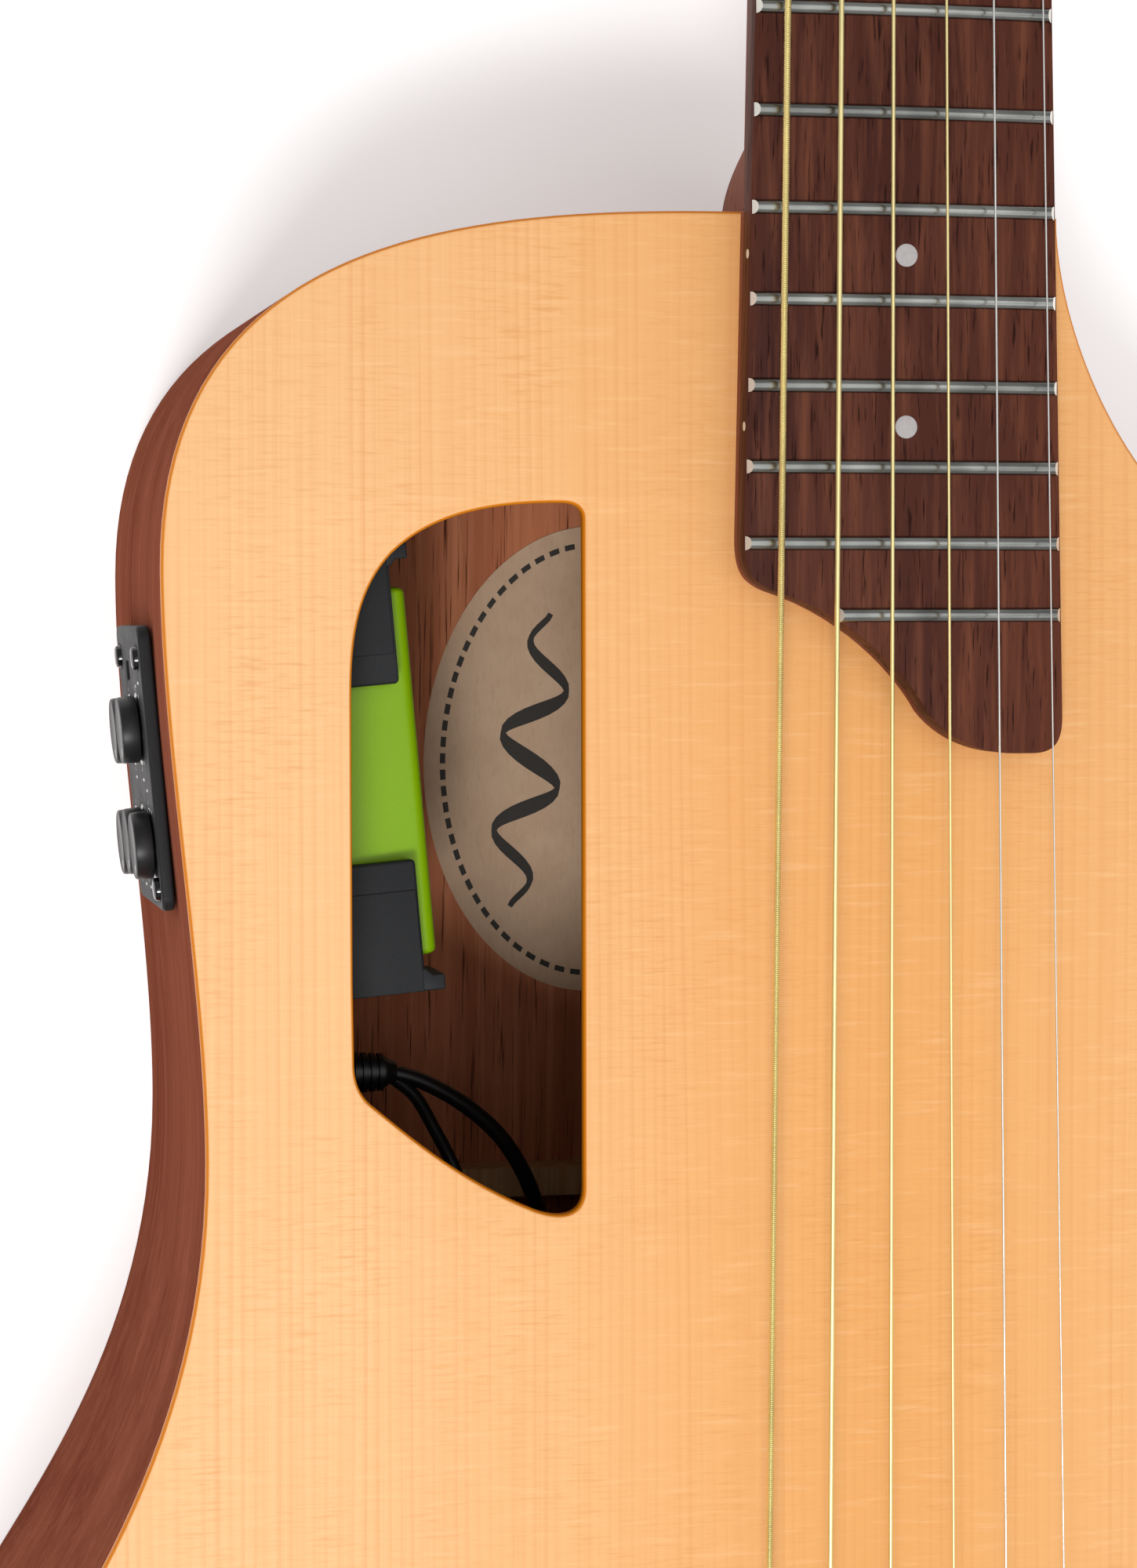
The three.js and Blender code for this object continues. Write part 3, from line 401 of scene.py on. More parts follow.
# ---- Materials ----
class Nodes:
    """A short way to write a material's nodes. Object coordinates are metres in the row frame."""

    def __init__(self, name):
        self.material = bpy.data.materials.new(name)
        self.material.use_nodes = True
        self.tree = self.material.node_tree
        self.shader = self.tree.nodes["Principled BSDF"]
        self.object = self.add("ShaderNodeTexCoord").outputs["Object"]

    def add(self, kind, **settings):
        node = self.tree.nodes.new(kind)
        for key, value in settings.items():
            setattr(node, key, value)
        return node

    def link(self, value, socket):
        if isinstance(value, bpy.types.NodeSocket):
            self.tree.links.new(value, socket)
        else:
            socket.default_value = value

    def math(self, operation, a, b=0.0, clamp=False):
        node = self.add("ShaderNodeMath", operation=operation, use_clamp=clamp)
        self.link(a, node.inputs[0])
        self.link(b, node.inputs[1])
        return node.outputs[0]

    def times(self, a, b):
        return self.math("MULTIPLY", a, b)

    def scaled(self, scale, source=None, offset=(0, 0, 0)):
        """Object coordinates times scale, per metre."""
        node = self.add("ShaderNodeMapping")
        self.link(source or self.object, node.inputs["Vector"])
        node.inputs["Scale"].default_value = scale
        node.inputs["Location"].default_value = offset
        return node.outputs[0]

    def noise(self, scale, detail=2.0, roughness=0.5, distortion=0.0, offset=(0, 0, 0), source=None):
        node = self.add("ShaderNodeTexNoise")
        self.link(self.scaled(scale, source, offset), node.inputs["Vector"])
        node.inputs["Scale"].default_value = 1
        node.inputs["Detail"].default_value = detail
        node.inputs["Roughness"].default_value = roughness
        node.inputs["Distortion"].default_value = distortion
        return node.outputs["Fac"]

    def ramp(self, value, *stops, smooth=False):
        node = self.add("ShaderNodeValToRGB")
        node.color_ramp.interpolation = "EASE" if smooth else "LINEAR"
        while len(node.color_ramp.elements) < len(stops):
            node.color_ramp.elements.new(0.5)
        for element, (place, colour) in zip(node.color_ramp.elements, stops):
            element.position = place
            element.color = colour if len(colour) == 4 else (*colour, 1)
        self.link(value, node.inputs["Fac"])
        return node.outputs["Color"]

    def level(self, value, low, high, out_low=0.0, out_high=1.0):
        node = self.add("ShaderNodeMapRange", clamp=True)
        self.link(value, node.inputs["Value"])
        limits = {"From Min": low, "From Max": high, "To Min": out_low, "To Max": out_high}
        for socket, number in limits.items():
            node.inputs[socket].default_value = number
        return node.outputs["Result"]

    def mix(self, factor, a, b, blend="MIX"):
        node = self.add("ShaderNodeMix", data_type="RGBA", blend_type=blend)
        self.link(factor, node.inputs["Factor"])
        for socket, value in ((node.inputs[6], a), (node.inputs[7], b)):
            self.link(value if isinstance(value, bpy.types.NodeSocket) else (*value, 1), socket)
        return node.outputs[2]

    def split(self, source=None):
        node = self.add("ShaderNodeSeparateXYZ")
        self.link(source or self.object, node.inputs[0])
        return node.outputs

    def bump(self, height, distance, strength=1.0):
        node = self.add("ShaderNodeBump")
        node.inputs["Strength"].default_value = strength
        node.inputs["Distance"].default_value = distance
        self.link(height, node.inputs["Height"])
        self.link(node.outputs["Normal"], self.shader.inputs["Normal"])

    def set(self, **values):
        for key, value in values.items():
            self.link(value, self.shader.inputs[key.replace("_", " ")])
        return self


def rgb(r, g, b):
    """A linear colour from sRGB numbers up to 255."""
    shares = (r / 255, g / 255, b / 255)
    return tuple(c / 12.92 if c <= 0.04045 else ((c + 0.055) / 1.055) ** 2.4 for c in shares)


def design_height(n):
    """Height over the soundboard's outer face, in metres, from the row frame's coordinates."""
    _, y, z = n.split()
    up = n.times(z, math.cos(TILT))
    along = n.times(y, math.sin(TILT))
    return n.math("SUBTRACT", n.math("ADD", up, along), BODY_DEPTH * 0.001)


def spruce():
    n = Nodes("spruce")
    broad = n.noise((9, 3, 9), 3)
    base = n.mix(n.level(broad, 0.3, 0.7), rgb(246, 194, 138), rgb(242, 185, 125))
    x = n.split()[0]
    gold = n.level(n.math("ABSOLUTE", x), 0.005, 0.085, 1, 0)
    base = n.mix(gold, base, rgb(234, 170, 100))
    bands = n.noise((28, 1.2, 1), 2, offset=(8, 2, 0))
    base = n.mix(n.times(n.level(bands, 0.45, 0.7), 0.35), base, rgb(236, 170, 102))
    wander = n.times(n.noise((18, 1.6, 1), 2, offset=(3, 1, 0)), 0.012)
    rings = n.math("FRACT", n.math("DIVIDE", n.math("ADD", x, wander), 0.0021))
    pale, dark, between = (0, 0, 0), (1, 1, 1), (0.3, 0.3, 0.3)
    late = n.ramp(rings, (0, between), (0.1, pale), (0.5, pale), (0.93, dark), (1, between))
    strength = n.level(n.noise((190, 5, 1), 2, offset=(1, 7, 0)), 0.35, 0.75, 0.05, 0.42)
    colour = n.mix(n.times(late, strength), base, rgb(222, 148, 84))
    fine = n.noise((1300, 9, 1), 2, 0.7)
    colour = n.mix(n.times(n.level(fine, 0.45, 0.75), 0.22), colour, rgb(226, 156, 92))
    silk = n.noise((150, 1700, 10), 2, 0.6, 0.3)
    patches = n.level(n.noise((45, 16, 10), 2), 0.4, 0.65)
    share = n.math("ADD", n.times(patches, 0.34), 0.1)
    flecks = n.times(n.level(silk, 0.5, 0.72), share)
    colour = n.mix(flecks, colour, rgb(220, 148, 82))
    bright = n.times(n.level(n.noise((80, 900, 10), 2), 0.55, 0.75), 0.22)
    colour = n.mix(bright, colour, rgb(253, 209, 158))
    edge = n.level(design_height(n), -0.00016, -0.00005, 1, 0)
    colour = n.mix(edge, colour, rgb(214, 124, 12))
    n.set(Base_Color=colour, Roughness=n.level(silk, 0.3, 0.7, 0.4, 0.5), Specular_IOR_Level=0.25)
    raised = n.math("ADD", n.times(fine, 0.5), silk)
    n.bump(n.math("ADD", raised, n.times(late, -0.3)), 0.00004, 0.5)
    return n.material


def grained(name, base, dark, light, roughness, gloss, pores):
    """Straight-grained hardwood with open pores running along Y."""
    n = Nodes(name)
    broad = n.noise((60, 3, 60), 3, 0.6)
    colour = n.mix(n.level(broad, 0.3, 0.7), base, dark)
    streak = n.noise((420, 7, 420), 3, 0.65, 0.2)
    colour = n.mix(n.times(n.level(streak, 0.45, 0.75), 0.55), colour, light)
    pore = n.noise((1900, 45, 1900), 2, 0.6, offset=(5, 5, 5))
    pits = n.level(pore, 0.58, 0.7)
    colour = n.mix(n.times(pits, pores), colour, tuple(c * 0.35 for c in dark))
    rough = n.level(pits, 0, 1, roughness, roughness + 0.2)
    n.set(Base_Color=colour, Roughness=rough, Specular_IOR_Level=gloss)
    n.bump(n.math("SUBTRACT", n.times(streak, 0.3), pits), 0.00008, 0.5)
    return n.material


def plastic(name, colour, roughness=0.5, grain=0.00003, size=4000, gloss=0.5, fleck=0.2):
    n = Nodes(name)
    speck = n.noise((size, size, size), 3, 0.7)
    worn = n.noise((60, 60, 60), 3)
    dark, light = (tuple(min(1, c * k) for c in colour) for k in (1 - fleck, 1 + fleck))
    tint = n.mix(n.level(speck, 0.3, 0.8), dark, light)
    rough = n.level(worn, 0.3, 0.7, max(0.03, roughness - 0.06), roughness + 0.06)
    n.set(Base_Color=tint, Roughness=rough, Specular_IOR_Level=gloss)
    n.bump(speck, grain, 0.6)
    return n.material


def metal(name, colour, roughness=0.2, brushed=(1, 1, 1), wear=0.08, dark_tone_and_reflection=0.88):
    n = Nodes(name)
    fine = n.noise(tuple(900 * b for b in brushed), 3, 0.6)
    cloud = n.noise((90, 90, 90), 2)
    # The cloud darkens patches by this factor: random tone on most metals, and painted dark reflection on the
    # frets.
    tint = n.mix(n.level(cloud, 0.3, 0.7), tuple(c * dark_tone_and_reflection for c in colour), colour)
    n.set(Base_Color=tint, Roughness=n.level(fine, 0.3, 0.7, roughness, roughness + wear), Metallic=1)
    n.bump(fine, 0.00001, 0.3)
    return n.material


def bone():
    n = Nodes("bone")
    cloud = n.noise((120, 30, 120), 3)
    pores = n.noise((1800, 500, 1800), 2)
    colour = n.mix(n.level(cloud, 0.3, 0.7), rgb(240, 232, 212), rgb(228, 216, 190))
    colour = n.mix(n.times(n.level(pores, 0.6, 0.75), 0.25), colour, rgb(200, 180, 150))
    n.set(Base_Color=colour, Roughness=0.32, Subsurface_Weight=0.08)
    n.bump(pores, 0.00002, 0.3)
    return n.material


def pearl():
    n = Nodes("pearl")
    cloud = n.noise((900, 500, 900), 2, distortion=1.5)
    n.set(Base_Color=n.mix(cloud, rgb(186, 180, 178), rgb(160, 156, 158)), Roughness=0.3)
    return n.material


def paper():
    n = Nodes("paper")
    cloud = n.noise((90, 90, 90), 4, 0.6)
    fibre = n.noise((1500, 300, 1500), 3, 0.7, 0.5)
    colour = n.mix(n.level(cloud, 0.3, 0.7), rgb(214, 182, 152), rgb(200, 166, 136))
    colour = n.mix(n.times(n.level(fibre, 0.5, 0.8), 0.3), colour, rgb(160, 126, 96))
    n.set(Base_Color=colour, Roughness=0.85)
    n.bump(fibre, 0.00003, 0.4)
    return n.material


def ink():
    n = Nodes("ink")
    patch = n.noise((1200, 1200, 1200), 2)
    n.set(Base_Color=n.mix(patch, rgb(38, 34, 30), rgb(52, 46, 40)), Roughness=0.7)
    return n.material


def pale_floor():
    n = Nodes("pale_floor")
    cloud = n.noise((3, 3, 3), 2)
    n.set(Base_Color=n.mix(cloud, (0.93, 0.93, 0.93), (0.95, 0.95, 0.95)), Roughness=0.9)
    n.set(Emission_Color=(1, 1, 1, 1), Emission_Strength=0.34)
    return n.material


# name: base, dark and light colours, roughness, gloss, share of dark pores
WOODS = {
    "mahogany": (rgb(146, 84, 64), rgb(122, 64, 47), rgb(160, 97, 75), 0.5, 0.0, 0.25),
    "neck_mahogany": (rgb(140, 84, 64), rgb(114, 62, 46), rgb(156, 98, 76), 0.5, 0.02, 0.3),
    # inside_back is lighter than the outside partly as bare wood's own colour, partly as painted light for
    # the light coming in through the soundhole.
    "inside_back": (rgb(206, 128, 90), rgb(158, 88, 58), rgb(226, 152, 110), 0.7, 0.1, 1.0),
    "rosewood": (rgb(92, 50, 37), rgb(58, 29, 25), rgb(128, 76, 54), 0.45, 0.05, 0.85),
    "inner_wood": (rgb(206, 164, 116), rgb(184, 140, 92), rgb(222, 184, 138), 0.8, 0.1, 0.2),
}


def make_materials():
    return {
        "spruce": spruce(),
        **{name: grained(name, *values) for name, values in WOODS.items()},
        "bone": bone(),
        "pearl": pearl(),
        "paper": paper(),
        "ink": ink(),
        # The frets' dark colour and deep dark patches are painted reflection: the dark mirror image along
        # each crown.
        "fret": metal("fret_nickel", (0.40, 0.41, 0.39), 0.16, (1, 30, 30), dark_tone_and_reflection=0.45),
        # The fret ends are the fret nickel in a far lighter colour: a painted highlight on the slanted ends.
        "fret_end_highlight": metal("fret_end_highlight", (0.95, 0.91, 0.84), 0.45),
        "nickel": metal("nickel", (0.82, 0.83, 0.84), 0.1),
        "steel": metal("steel", (0.6, 0.6, 0.61), 0.35, (1, 0.02, 1)),
        "wound": metal("bronze_winding", (1.0, 0.86, 0.42), 0.4),
        "plain": metal("plain_string", (0.8, 0.8, 0.78), 0.2),
        "black": plastic("black_plastic", rgb(38, 39, 41), 0.55, gloss=0.2),
        "knob": plastic("knob_plastic", rgb(30, 30, 31), 0.38, 0.00001, gloss=0.35),
        "gloss": plastic("gloss_black", rgb(16, 16, 17), 0.12, 0.000002),
        "green": plastic("green_plastic", rgb(134, 178, 8), 0.3, 0.000002, 2500, 0.3, 0.04),
        "cable": plastic("cable_jacket", rgb(20, 20, 20), 0.36, 0.00001),
        "mark": plastic("printed_mark", rgb(225, 225, 225), 0.6, 0.000001),
        "floor": pale_floor(),
    }


# ---- Outlines ----
def bass_outline(steps=40):
    return path(
        (0, BODY_END),
        ((-28, BODY_END),),
        ((-79.2, BODY_END), (-133, 283.7), (-133, 225.3)),
        ((-133, 193.1), (-125.7, 153), (-125.7, 120.3)),
        ((-125.7, 45.8), (-179.4, 15.9), (-179.4, -25.4)),
        ((-179.4, -120), (-95, TAIL_END), (0, TAIL_END)),
        steps=steps,
    )


def treble_outline(steps=40):
    return path(
        (0, TAIL_END),
        ((95, TAIL_END), (179.4, -120), (179.4, -25.4)),
        ((179.4, 15.9), (125.7, 45.8), (125.7, 120.3)),
        ((125.7, 145), (127, 160), (127, 180)),
        ((127, 206), (109, 216.1), (84, 221)),
        ((48, 228), (31.6, 268), (31.6, BODY_END)),
        ((0, BODY_END),),
        steps=steps,
    )


def soundhole_outline():
    return path(
        (-57.5, 234.2),
        ((-57.5, 236.3), (-58.9, 237.1), (-61.5, 237.1)),
        ((-73, 237.1), (-84.5, 235.4), (-92.1, 228)),
        ((-97.8, 222), (-99.4, 214), (-99.4, 203)),
        ((-99.4, 152),),
        ((-99.2, 137),),
        ((-99.1, 133.6), (-98, 131.2), (-95.3, 129.2)),
        ((-88.5, 123.5), (-79.5, 115.6), (-66.5, 110.1)),
        ((-60.5, 107.8), (-57.5, 109.5), (-57.5, 113.8)),
        steps=16,
    )


def board_outline():
    return path(
        (-BOARD_HALF_AT_NUT, SCALE_LENGTH),
        ((-board_half(231), 231),),
        ((-29.7, 224.5), (-28, 223), (-24.5, 221.4)),
        ((-10, 217), (0, 207), (4.3, 199.5)),
        ((7.8, 195), (14, 191.8), (21, 191.8)),
        ((24.5, 191.8),),
        ((28.6, 191.8), (board_half(195), 193.5), (board_half(198.5), 198.5)),
        ((BOARD_HALF_AT_NUT, SCALE_LENGTH),),
        steps=14,
    )


# ---- Body ----
def make_soundboard(m):
    outline = bass_outline()[:-1] + treble_outline()[:-1]
    mesh = plate(outline, -TOP_THICK, 0, 0.85, [soundhole_outline()], rounds=4)
    piece("soundboard_finished", mesh, m["spruce"], replaces="soundboard")


def rim_mesh(points):
    rings = []
    for i, (x, y) in enumerate(points):
        ax, ay = points[max(i - 1, 0)]
        bx, by = points[min(i + 1, len(points) - 1)]
        length = math.hypot(bx - ax, by - ay)
        nx, ny = -(by - ay) / length, (bx - ax) / length
        ix, iy = x + nx * RIM_THICK, y + ny * RIM_THICK
        low, inner_low = back_inner(y), back_inner(iy)
        rings.append([(x, y, low), (x, y, -TOP_THICK), (ix, iy, -TOP_THICK), (ix, iy, inner_low)])
    return loft(rings)


def make_sides(m):
    opening = plate(rounded_rectangle(43.4, 30.6, 2), -12, 8, place=PLACE @ PREAMP)
    bass = boolean(rim_mesh(bass_outline()), opening, "DIFFERENCE")
    piece("side_bass_finished", bass, m["mahogany"], replaces="side_bass", angle=40)
    treble = rim_mesh(treble_outline())
    piece("side_treble_finished", treble, m["mahogany"], replaces="side_treble", angle=40)


def make_back(m):
    stretch = 1 / math.cos(TILT)
    outline = [(x, y * stretch) for x, y in bass_outline()[:-1] + treble_outline()[:-1]]
    mesh = plate(outline, 0, BACK_THICK, 0.5, place=Matrix.Scale(0.001, 4))
    # The inner face takes inside_back, whose lightness is partly painted light.
    both = [m["inside_back"], m["mahogany"]]
    back = piece("back_plate_finished", mesh, both, replaces="back_plate")
    for face in back.data.polygons:
        face.material_index = 0 if face.center.z > (BACK_THICK - 0.1) * 0.001 else 1


LABEL = {"x": -35.8, "y": 187.7, "half": (35.1, 47.9), "ring": (31.2, 44.1), "dashes": 71}


def make_label(m):
    stretch = 1 / math.cos(TILT)
    flat = Matrix.Scale(0.001, 4) @ Matrix.Translation((LABEL["x"], LABEL["y"] * stretch, 0))
    a, b = LABEL["half"]
    oval = [(a * x, b * y) for x, y in circle(1, sides=120)]
    disc = plate(oval, BACK_THICK + 0.02, BACK_THICK + 0.2, place=flat)
    piece("label", disc, m["paper"])
    a, b = LABEL["ring"]
    turns = np.linspace(0, 2 * math.pi, 721)
    ring = np.stack([a * np.cos(turns), b * np.sin(turns)], axis=1)
    lengths = np.concatenate([[0], np.cumsum(np.linalg.norm(np.diff(ring, axis=0), axis=1))])
    pitch = lengths[-1] / LABEL["dashes"]
    dashes = []
    for i in range(LABEL["dashes"]):
        ends = [np.interp(pitch * (i + share), lengths, turns) for share in (0, 0.31, 0.62)]
        outer = [((a + 0.55) * math.cos(t), (b + 0.55) * math.sin(t)) for t in ends]
        inner = [((a - 0.55) * math.cos(t), (b - 0.55) * math.sin(t)) for t in reversed(ends)]
        dashes.append(plate(outer + inner, BACK_THICK + 0.2, BACK_THICK + 0.26, place=flat))
    piece("label_dashes", joined(*dashes), m["ink"])
    wave = []
    for i in range(61):
        t = i / 60
        along = Vector((-17 + 8 * t, -30 + 60 * t))
        turn = 2 * math.pi * 3 * t
        fade = math.sin(math.pi * t)
        swing = 6.5 * math.sin(turn) * fade**0.5
        wave.append((along + swing * Vector((0.99, -0.13)), 0.55 + 1.2 * abs(math.cos(turn)) * fade))
    left, right = [], []
    for i, (spot, width) in enumerate(wave):
        ahead = (wave[min(i + 1, 60)][0] - wave[max(i - 1, 0)][0]).normalized()
        side = Vector((-ahead.y, ahead.x)) * width
        left.append(tuple(spot + side))
        right.append(tuple(spot - side))
    flourish = plate(left + right[::-1], BACK_THICK + 0.2, BACK_THICK + 0.26, place=flat)
    piece("label_flourish", flourish, m["ink"])


# ---- Neck ----
# height, half-width, how far the heel reaches towards the headstock
HEEL = (
    (-3, 26.8, 331),
    (-12, 25.9, 323),
    (-20, 25.2, 318.5),
    (-30, 24.1, 313.5),
    (-45, 20.4, 306.5),
    (-64, 16.6, 302),
    (-81, 14.2, 299.8),
    (HEEL_BOTTOM, 12.8, 298.4),
)


def smoothly(where, places, values):
    """A rounded curve through values, for a list of places in rising order."""
    slopes = np.gradient(np.array(values, float), np.array(places, float))
    i = int(np.clip(np.searchsorted(places, where) - 1, 0, len(places) - 2))
    width = places[i + 1] - places[i]
    t = (where - places[i]) / width
    start = values[i] * (1 + 2 * t) * (1 - t) ** 2 + slopes[i] * width * t * (1 - t) ** 2
    return start + values[i + 1] * t * t * (3 - 2 * t) - slopes[i + 1] * width * t * t * (1 - t)


def heel_ring(z):
    depths = [-h for h, _, _ in HEEL]
    half = smoothly(-z, depths, [w for _, w, _ in HEEL])
    front = smoothly(-z, depths, [f for _, _, f in HEEL])
    start = NECK_START
    turns = np.linspace(0, math.pi, 49)
    ring = [(half * math.cos(a), start + 0.5 + (front - start) * math.sin(a), z) for a in turns]
    return [*ring, (-half, start, z), (half, start, z)]


def neck_ring(y):
    depth = smoothly(y, (289.9, 330, 420, 540, 630, 648, 655.3), (16.5, 16.3, 15.9, 15.2, 14.7, 14.9, 15.4))
    half = board_half(min(y, SCALE_LENGTH)) - NECK_INSET
    turns = np.linspace(0, math.pi, 49)
    ring = [(half * math.cos(a), y, NECK_TOP - 1 - (depth - 1) * math.sin(a)) for a in turns]
    return [*ring, (-half, y, NECK_TOP), (half, y, NECK_TOP)]


def headstock_outline():
    half = BOARD_HALF_AT_NUT
    right = path(
        (half, -5),
        ((half, 2),),
        ((half, 16), (31, 14), (33, 30)),
        ((36, 160),),
        ((36.3, 170), (30, 173), (20, 175)),
        ((12, 176.6), (6, 178.5), (0, 181)),
        steps=12,
    )
    return right + [(-x, y) for x, y in reversed(right[:-1])]


def make_neck(m):
    shaft = loft([neck_ring(y) for y in np.linspace(NECK_START, HEAD_START, 40)])
    heel = bevelled(loft([heel_ring(z) for z in np.linspace(HEEL[0][0], HEEL_BOTTOM, 46)]), 1.2, 4, 60)
    shaft = boolean(shaft, heel, "UNION")
    holes = [circle(3.6, side * TUNER_X, row) for row in TUNER_ROWS for side in (-1, 1)]
    head = plate(headstock_outline(), -HEAD_THICK, 0, 0.8, holes, place=PLACE @ HEAD)
    neck = boolean(shaft, head, "UNION")
    neck = boolean(neck, box(-40, 40, 600, HEAD_START, NECK_TOP, 30), "DIFFERENCE")
    tongue = plate(board_outline()[1:-1] + [(28.4, 289.5), (-28.4, 289.5)], 0.1, NECK_TOP, 0)
    piece("neck_finished", joined(neck, tongue), m["neck_mahogany"], replaces="neck", angle=38)


def make_fretboard(m):
    flat = plate(board_outline(), BOARD_UNDER - 0.25, BOARD_TOP + 2)
    ring = circle(BOARD_RADIUS, sides=1200)
    rings = [[(z, y, BOARD_TOP - BOARD_RADIUS + x) for x, z in ring] for y in (150, 700)]
    board = bevelled(boolean(flat, loft(rings), "INTERSECT"), 0.4, 2, 50)
    piece("fretboard_finished", board, m["rosewood"], replaces="fretboard", angle=30)


def fret_mesh(n):
    """A cambered crown with slanted ends."""
    y = fret_y(n)
    right = board_half(y) - 0.1
    left = -right
    if n == 19:
        left = -12.6
    half, height, lean = 1.25, 1.15, 0.95
    section = []
    for i in range(11):
        turn = math.pi * i / 10
        section.append((half * math.cos(turn), height * math.sin(turn) ** 0.8))
    rings = []
    steps = 24
    for i in range(steps + 1):
        ring = []
        for across, up in section:
            share = up / height
            x0, x1 = left + lean * share, right - lean * share
            x = x0 + (x1 - x0) * i / steps
            ring.append((x, y + across, board_surface(x) - 0.05 + up))
        rings.append(ring)
    return loft(rings)


def make_frets(m):
    for n in range(1, 20):
        mesh = fret_mesh(n)
        fret = piece(f"fret_{n:02d}", mesh, [m["fret"], m["fret_end_highlight"]], angle=38)
        # Faces that point sideways, the slanted ends, take the lighter colour as a painted highlight.
        for face in fret.data.polygons:
            face.material_index = 1 if abs(face.normal.x) > 0.45 else 0


MARKED_FRETS = (3, 5, 7, 9, 12, 15, 17)


def make_markers(m):
    dots = []
    for n in MARKED_FRETS:
        y = (fret_y(n) + fret_y(n - 1)) / 2
        for x in (-9, 9) if n == 12 else (0.1,):
            spot = PLACE @ Matrix.Translation((x, y, board_surface(x)))
            dots.append(plate(circle(2.05), -0.5, 0.06, 0.03, place=spot))
    piece("position_dots", joined(*dots), m["pearl"])
    dots = []
    for n in MARKED_FRETS:
        y = (fret_y(n) + fret_y(n - 1)) / 2
        for shift in (-4, 4) if n == 12 else (0,):
            spot = PLACE @ Matrix.Translation((-board_half(y), y + shift, 5.6))
            outwards = spot @ Matrix.Rotation(-math.pi / 2, 4, "Y")
            dots.append(plate(circle(0.85, sides=20), -0.5, 0.05, place=outwards))
    piece("side_dots", joined(*dots), m["bone"])


def make_nut(m):
    half = BOARD_HALF_AT_NUT
    top = [(half * (1 - i / 12), 10.1 + 0.55 * (1 - (1 - i / 12) ** 2)) for i in range(25)]
    outline = [(-half, BOARD_UNDER - 0.28), (half, BOARD_UNDER - 0.28)] + top
    stand = Matrix.Translation((0, SCALE_LENGTH + 2.65, 0)) @ Matrix.Rotation(math.pi / 2, 4, "X")
    mesh = bevelled(plate(outline, -2.5, 2.5, place=PLACE @ stand), 0.35, 2)
    for _, x, radius, *_ in STRINGS.values():
        low = string_under(x, SCALE_LENGTH)
        slot = box(x - radius - 0.08, x + radius + 0.08, 640, 665, low - 0.02, 20)
        mesh = boolean(mesh, slot, "DIFFERENCE")
    piece("nut_finished", mesh, m["bone"], replaces="nut")


# ---- Strings ----
def string_mesh(name):
    at_saddle, at_nut, radius, row, side, pitch = STRINGS[name]
    crest = at_saddle * SADDLE_SLANT
    tip = HEAD @ Vector((side * (TUNER_X - 3.0 - radius), TUNER_ROWS[row], 9))
    corners = [
        Vector((at_saddle, -12.5, BRIDGE_TOP + radius)),
        Vector((at_saddle, crest - 1.6, string_under(at_saddle, 0) + radius)),
        Vector((at_saddle, crest, string_under(at_saddle, 0) + radius)),
        Vector((at_nut, SCALE_LENGTH + 0.3, string_under(at_nut, SCALE_LENGTH) + radius)),
        Vector((at_nut, HEAD_START, string_under(at_nut, SCALE_LENGTH) + radius)),
        tip,
    ]
    if not pitch:
        return tube(corners, radius, 12)
    points = []
    step = pitch / 2
    for a, b in zip(corners, corners[1:]):
        length = (b - a).length
        count = max(1, round(length / step))
        for i in range(count):
            points.append(a.lerp(b, i / count))
    points.append(corners[-1])
    groove = 0.82 if radius > 0.5 else 0.88
    radii = [radius if i % 2 else radius * groove for i in range(len(points))]
    return tube(points, radii, 8 if radius > 0.5 else 6)


def make_strings(m):
    for name, (_, _, radius, row, side, pitch) in STRINGS.items():
        material, slot = (m["wound"], "bronze_winding") if pitch else (m["plain"], "plain_string")
        node = f"string_{name}"
        piece(f"{node}_finished", string_mesh(name), material, replaces=node, angle=60)
        turns, coils = 3.5, []
        for i in range(int(turns * 20) + 1):
            a = math.pi / 2 * (1 - side) + 2 * math.pi * i / 20
            reach = 3.0 + radius
            x, y = side * TUNER_X + reach * math.cos(a), TUNER_ROWS[row] + reach * math.sin(a)
            coils.append((x, y, 9 - i / 20 * radius * 2.1 + 2))
        mesh = tube(coils, radius * 0.98, 8, place=PLACE @ HEAD)
        piece(f"winding_{name}", mesh, material, body=f"tuner_post_{name}", angle=60)


